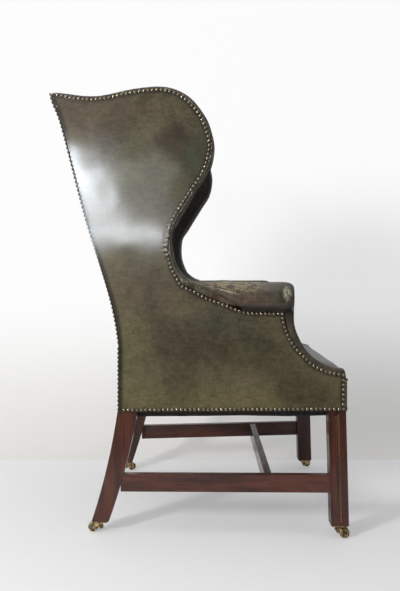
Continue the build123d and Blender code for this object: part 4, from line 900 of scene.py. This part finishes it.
# The outside back, from the foot up over the bend to the head, with both top corners rounded
BACK_TOP, BACK_STEP, BACK_PROUD, HALF_COLUMNS = 1.131, 0.004, 0.0003, 70
outer = [(BACK_FOOT + BACK_PROUD, rail_bottom(BACK_FOOT)), (BACK_FOOT + BACK_PROUD, 0.35)]
outer += [(y + LEATHER + BACK_PROUD, z) for y, z in curve_through(back_line(), BACK_STEP)]
outer = [point for point in evenly(outer, BACK_STEP) if point[1] < BACK_TOP]
length = sum(math.dist(a, b) for a, b in zip(outer, outer[1:]))
rows, depths = [], []
for number, (y, z) in enumerate(outer):
    row = []
    up = length * number / (len(outer) - 1)
    half = side_x(y, -0.0005)
    for i in range(2 * HALF_COLUMNS + 1):
        x = half * (i / HALF_COLUMNS - 1)
        to_side, to_end = half - abs(x), min(up, length - up)
        depth = min(to_side, to_end)
        along = up if to_side < to_end else x
        bulge = noise.noise((x * 5, z * 5, 3.3)) * 0.0014 * (1 - math.exp(-depth / 0.03))
        rounding = 0.008 * ramp(-to_side, -0.014, 0) * ramp(up - length, -0.016, 0)
        row.append((x, y + bulge + puckered(depth, along), z - rounding))
        depths.append(depth)
    rows.append(row)
outside_back = skin(
    "outside_back_leather", rows, panel_leather, "olive_leather", OUTSIDE_THICKNESS, True,
    depths)
squared_rim(outside_back)
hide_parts("outside_back")

# The leather border below the seat turns both front corners
BORDER_HEIGHT, BORDER_ROWS, CORNER_TURN = 0.078, 26, 0.0022
return_rear = SWEEP_NAIL_END - OUTSIDE_THICKNESS
corner_x = side_x(SEAT_FRONT, 0)
turned = (-corner_x + CORNER_TURN, SEAT_FRONT)
path = curve_through([
    (-side_x(return_rear, 0), return_rear), (-corner_x + 0.0004, SEAT_FRONT + 0.0012),
    turned], 0.0012)
path += evenly([turned, (-turned[0], SEAT_FRONT)], 0.004)[1:]
path += [(-x, y) for x, y in reversed(path) if x < turned[0] - 0.0001]
rows, depths = [], []
for j in range(BORDER_ROWS + 1):
    z = RAIL_BOTTOM_FRONT + BORDER_HEIGHT * j / BORDER_ROWS
    row = []
    for x, y in path:
        depth = z - RAIL_BOTTOM_FRONT
        flat = ramp(corner_x - abs(x), 0.006, 0.03)
        bulge = noise.noise((x * 9, z * 9, 8.1)) * 0.0007 * flat
        row.append((x, y - float(bulge) - float(flat) * puckered(depth, x), z))
        depths.append(depth)
    rows.append(row)
border = skin(
    "front_border_leather", rows, panel_leather, "olive_leather", 0.002, False, depths)
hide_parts("front_border")

# The dust cloth is tacked under the rails and hangs loose inside the tacks
DUST_FRONT, DUST_REAR, DUST_SAG, DUST_CELLS = -0.356, 0.187, 0.0205, 80
rows = []
for j in range(DUST_CELLS + 1):
    y = DUST_FRONT + (DUST_REAR - DUST_FRONT) * j / DUST_CELLS
    half = side_x(y, -0.0175)
    row = []
    for i in range(DUST_CELLS + 1):
        x = half * (2 * i / DUST_CELLS - 1)
        to_edge = min(half - abs(x), y - DUST_FRONT, DUST_REAR - y)
        slack = 1 - math.exp(-max(to_edge - 0.005, 0) / 0.011)
        wave = noise.noise((x * 6, y * 6, 1.7)) * 0.0035
        wave += noise.noise((x * 21, y * 21, 5)) * 0.001
        row.append((x, y, rail_bottom(y) - 0.0012 - slack * (DUST_SAG + wave)))
    rows.append(row)
dust = skin("sagging_dust_cloth", rows, dust_cotton, "dust_cloth", 0.0008)
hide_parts("dust_cloth")


def tube(name, points, radius, made, sides=8):
    """A round welt of leather through points, its ends closed."""
    line = [Vector(p) for p in points]
    vertices, faces = [], []
    up = Vector((0, 0, 1))
    for i, place in enumerate(line):
        way = (line[min(i + 1, len(line) - 1)] - line[max(i - 1, 0)]).normalized()
        across = way.cross(up)
        across = across.normalized() if across.length > 0.2 else way.cross(Vector((1, 0, 0)))
        above = across.cross(way).normalized()
        for k in range(sides):
            turn = math.tau * k / sides
            vertices.append(
                place + (across * math.cos(turn) + above * math.sin(turn)) * radius)
    for i in range(len(line) - 1):
        for k in range(sides):
            low, high = i * sides + k, i * sides + (k + 1) % sides
            faces.append((low, high, high + sides, low + sides))
    faces += [tuple(range(sides))[::-1], tuple(
        range(len(vertices) - sides, len(vertices)))]
    new_piece(name, vertices, faces, made)


# Piping along each wing's inner edge and between the seat and its border
wing_line = curve_through(drawn_in(wing_edge(), -0.0004), 0.004)
for side, word in SIDES:
    tube(
        f"wing_piping_{word}", [on_side(y, z, -0.0205, side) for y, z in wing_line],
        0.0017, side_leather)
tube("seat_piping", [
    (x, SEAT_FRONT - 0.0006, RAIL_BOTTOM_FRONT + 0.0785)
    for (x,) in evenly([(-corner_x + 0.003,), (corner_x - 0.003,)], 0.006)],
    0.0022, panel_leather)

# The front legs' channels, with a row of beads beside a flat reed
LEG_OUTER, LEG_WIDTH, LEG_DEPTH = 0.3395, 0.0425, 0.0445
FOOT_HEIGHT, LEG_TOP = 0.030, 0.3203
FOOT_MIDDLE, LEG_LEAN = -0.35725, 0.0075
CHANNEL_DEPTH, CHANNEL_HALF_WIDTH, CHANNEL_END = 0.0016, 0.0057, 0.0082
BEAD_ALONG, BEAD_HALF_WIDTH, BEAD_HALF_HEIGHT = 0.0033, 0.0022, 0.0020
BEAD_RISE, BEAD_PITCH, BEAD_END, BEAD_SIDES = 0.0017, 0.006, 0.0115, 12
BEAD_ROUNDING = ((0, 1.0), (0.45, 0.93), (0.8, 0.62), (1.0, 0.08))
REED_ALONG, REED_HALF_WIDTH, REED_STEPS, REED_WEAR = -0.0026, 0.0030, 8, 0.7


def leg_place(face, along, out, z, side):
    """A place on a front leg's side face or front face, moved out by a length."""
    middle = FOOT_MIDDLE + LEG_LEAN * (z - FOOT_HEIGHT) / (LEG_TOP - FOOT_HEIGHT)
    if face == "side":
        return Vector((side * (LEG_OUTER + out), middle + along, z))
    return Vector((
        side * (LEG_OUTER - LEG_WIDTH / 2 + along), middle - LEG_DEPTH / 2 - out, z))


def beading(name, side):
    """A row of carved beads beside a reed, in the channel of each outer face of a leg."""
    vertices, faces, rubbed = [], [], []

    def ring_stack(rings, closed, share):
        """Skins rings of points, all with the same share of the rubbed tone; a share of 0 is
        the channel's painted shade.
        """
        first = len(vertices)
        rubbed.extend([share] * sum(len(ring) for ring in rings))
        for ring in rings:
            vertices.extend(ring)
        count = len(rings[0])
        for i in range(len(rings) - 1):
            for k in range(count if closed else count - 1):
                a, b = first + i * count + k, first + i * count + (k + 1) % count
                faces.append((a, b, b + count, a + count))

    channel_ends = (FOOT_HEIGHT + CHANNEL_END, LEG_TOP - CHANNEL_END)
    for face in ("side", "front"):
        z = FOOT_HEIGHT + BEAD_END
        while z < LEG_TOP - BEAD_END:
            rings = []
            for level, radius in BEAD_ROUNDING:
                turns = [math.tau * k / BEAD_SIDES for k in range(BEAD_SIDES)]
                rings.append([leg_place(
                    face, BEAD_ALONG + BEAD_HALF_WIDTH * radius * math.cos(turn),
                    -CHANNEL_DEPTH + BEAD_RISE * level,
                    z + BEAD_HALF_HEIGHT * radius * math.sin(turn), side) for turn in turns])
            ring_stack(rings, True, 1.0)
            z += BEAD_PITCH
        # The channel's ground, painted near black as shade in the recess
        ring_stack([[
            leg_place(face, along, -CHANNEL_DEPTH + 0.0001, z, side)
            for along in (-CHANNEL_HALF_WIDTH, CHANNEL_HALF_WIDTH)]
            for z in channel_ends], False, 0.0)
        turns = [math.pi * k / REED_STEPS for k in range(REED_STEPS + 1)]
        ring_stack([[
            leg_place(
                face, REED_ALONG + REED_HALF_WIDTH * math.cos(turn),
                -CHANNEL_DEPTH + BEAD_RISE * min(1, 2.6 * math.sin(turn)), z, side)
            for turn in turns]
            for z in channel_ends], False, REED_WEAR)
    piece = new_piece(name, vertices, faces, bead_wood)
    mark(piece, "rubbed", rubbed)
    mesh = bmesh.new()
    mesh.from_mesh(piece.data)
    bmesh.ops.recalc_face_normals(mesh, faces=mesh.faces)
    mesh.to_mesh(piece.data)
    mesh.free()


for side, word in SIDES:
    beading(f"leg_beading_{word}", side)


def stage_sheet(name, rows, low_color, high_color, low_share, high_share, one_sided):
    """A backdrop sheet that the camera sees partly lit and partly plain white, by height,
    darker towards the bottom and in a spot of painted shadow.

    A one-sided sheet is clear from behind. The other is clear beyond X = -1, except to the
    camera, so that the side panel mirrors the window above it and not the sheet.
    """
    made, graph, place = started(name)
    part = graph.add("ShaderNodeSeparateXYZ", {"Vector": place}).outputs
    level = graph.step(part["Z"], 0.02, 0.62)
    skin = graph.add("ShaderNodeBsdfPrincipled", {
        "Base Color": graph.mix(level, low_color, high_color), "Roughness": 0.7,
        "Specular IOR Level": 0.1})
    white = graph.add("ShaderNodeEmission", {"Color": rgb(1, 1, 1), "Strength": 1.0})
    path = graph.add("ShaderNodeLightPath")
    seen = graph.math(
        "MAXIMUM", path.outputs["Is Camera Ray"], path.outputs["Is Transmission Ray"])
    share = graph.add("ShaderNodeMapRange", {
        "Value": level, "To Min": low_share, "To Max": high_share}).outputs["Result"]
    # Painted shadow: in a soft spot right of the chair, on the paper and the floor alike, less
    # plain white shows and more of the lamp-lit shading, which darkens it where the chair's
    # real shadow also falls
    shaded = effect(graph, "soft_spot", place, {
        "Center": (0.88, -0.68, 0.42), "Size": (WIDE, 0.72, 0.78), "Ragged": 0.0,
        "Strength": 0.3})["Mask"]
    share = graph.times(share, graph.math("SUBTRACT", 1.0, shaded))
    shader = graph.add("ShaderNodeMixShader", {
        0: graph.times(seen, share), 1: skin.outputs[0], 2: white.outputs[0]}).outputs[0]
    if one_sided:
        gone = graph.add("ShaderNodeNewGeometry").outputs["Backfacing"]
    else:
        gone = graph.times(graph.step(part["X"], -0.9, -1.1), graph.math(
            "SUBTRACT", 1.0, path.outputs["Is Camera Ray"]))
    clear = graph.add("ShaderNodeBsdfTransparent").outputs[0]
    shader = graph.add("ShaderNodeMixShader", {0: gone, 1: shader, 2: clear}).outputs[0]
    graph.add("ShaderNodeOutputMaterial", {"Surface": shader})
    width = len(rows[0])
    mesh = bpy.data.meshes.new(name)
    mesh.from_pydata([p for row in rows for p in row], [], [
        (j * width + i, (j + 1) * width + i, (j + 1) * width + i + 1, j * width + i + 1)
        for j in range(len(rows) - 1) for i in range(width - 1)])
    mesh.polygons.foreach_set("use_smooth", [True] * len(mesh.polygons))
    sheet = bpy.data.objects.new(name, mesh)
    sheet.data.materials.append(made)
    scene.collection.objects.link(sheet)


# The floor, and a sheet of paper that curves up behind the chair
FLOOR_COLOR, FLOOR_REACH, FLOOR_SHARE = rgb(0.82, 0.825, 0.84), 7, 0.32
stage_sheet(
    "floor", [[(x, -FLOOR_REACH, 0), (x, FLOOR_REACH, 0)] for x in (-FLOOR_REACH, FLOOR_REACH)],
    FLOOR_COLOR, FLOOR_COLOR, FLOOR_SHARE, FLOOR_SHARE, False)
COVE_START, COVE_RADIUS, PAPER_LIFT, PAPER_TOP = 0.42, 0.46, 0.0004, 3.2
profile = [(COVE_START, PAPER_LIFT)] + [
    (COVE_START + COVE_RADIUS * math.sin(turn),
     COVE_RADIUS * (1 - math.cos(turn)) + PAPER_LIFT)
    for turn in np.linspace(0.1, math.pi / 2, 14)] + [(COVE_START + COVE_RADIUS, PAPER_TOP)]
stage_sheet(
    "paper", [[(x, -5, z), (x, 5, z)] for x, z in profile],
    rgb(0.76, 0.745, 0.715), rgb(0.90, 0.90, 0.895), 0.30, 0.92, True)
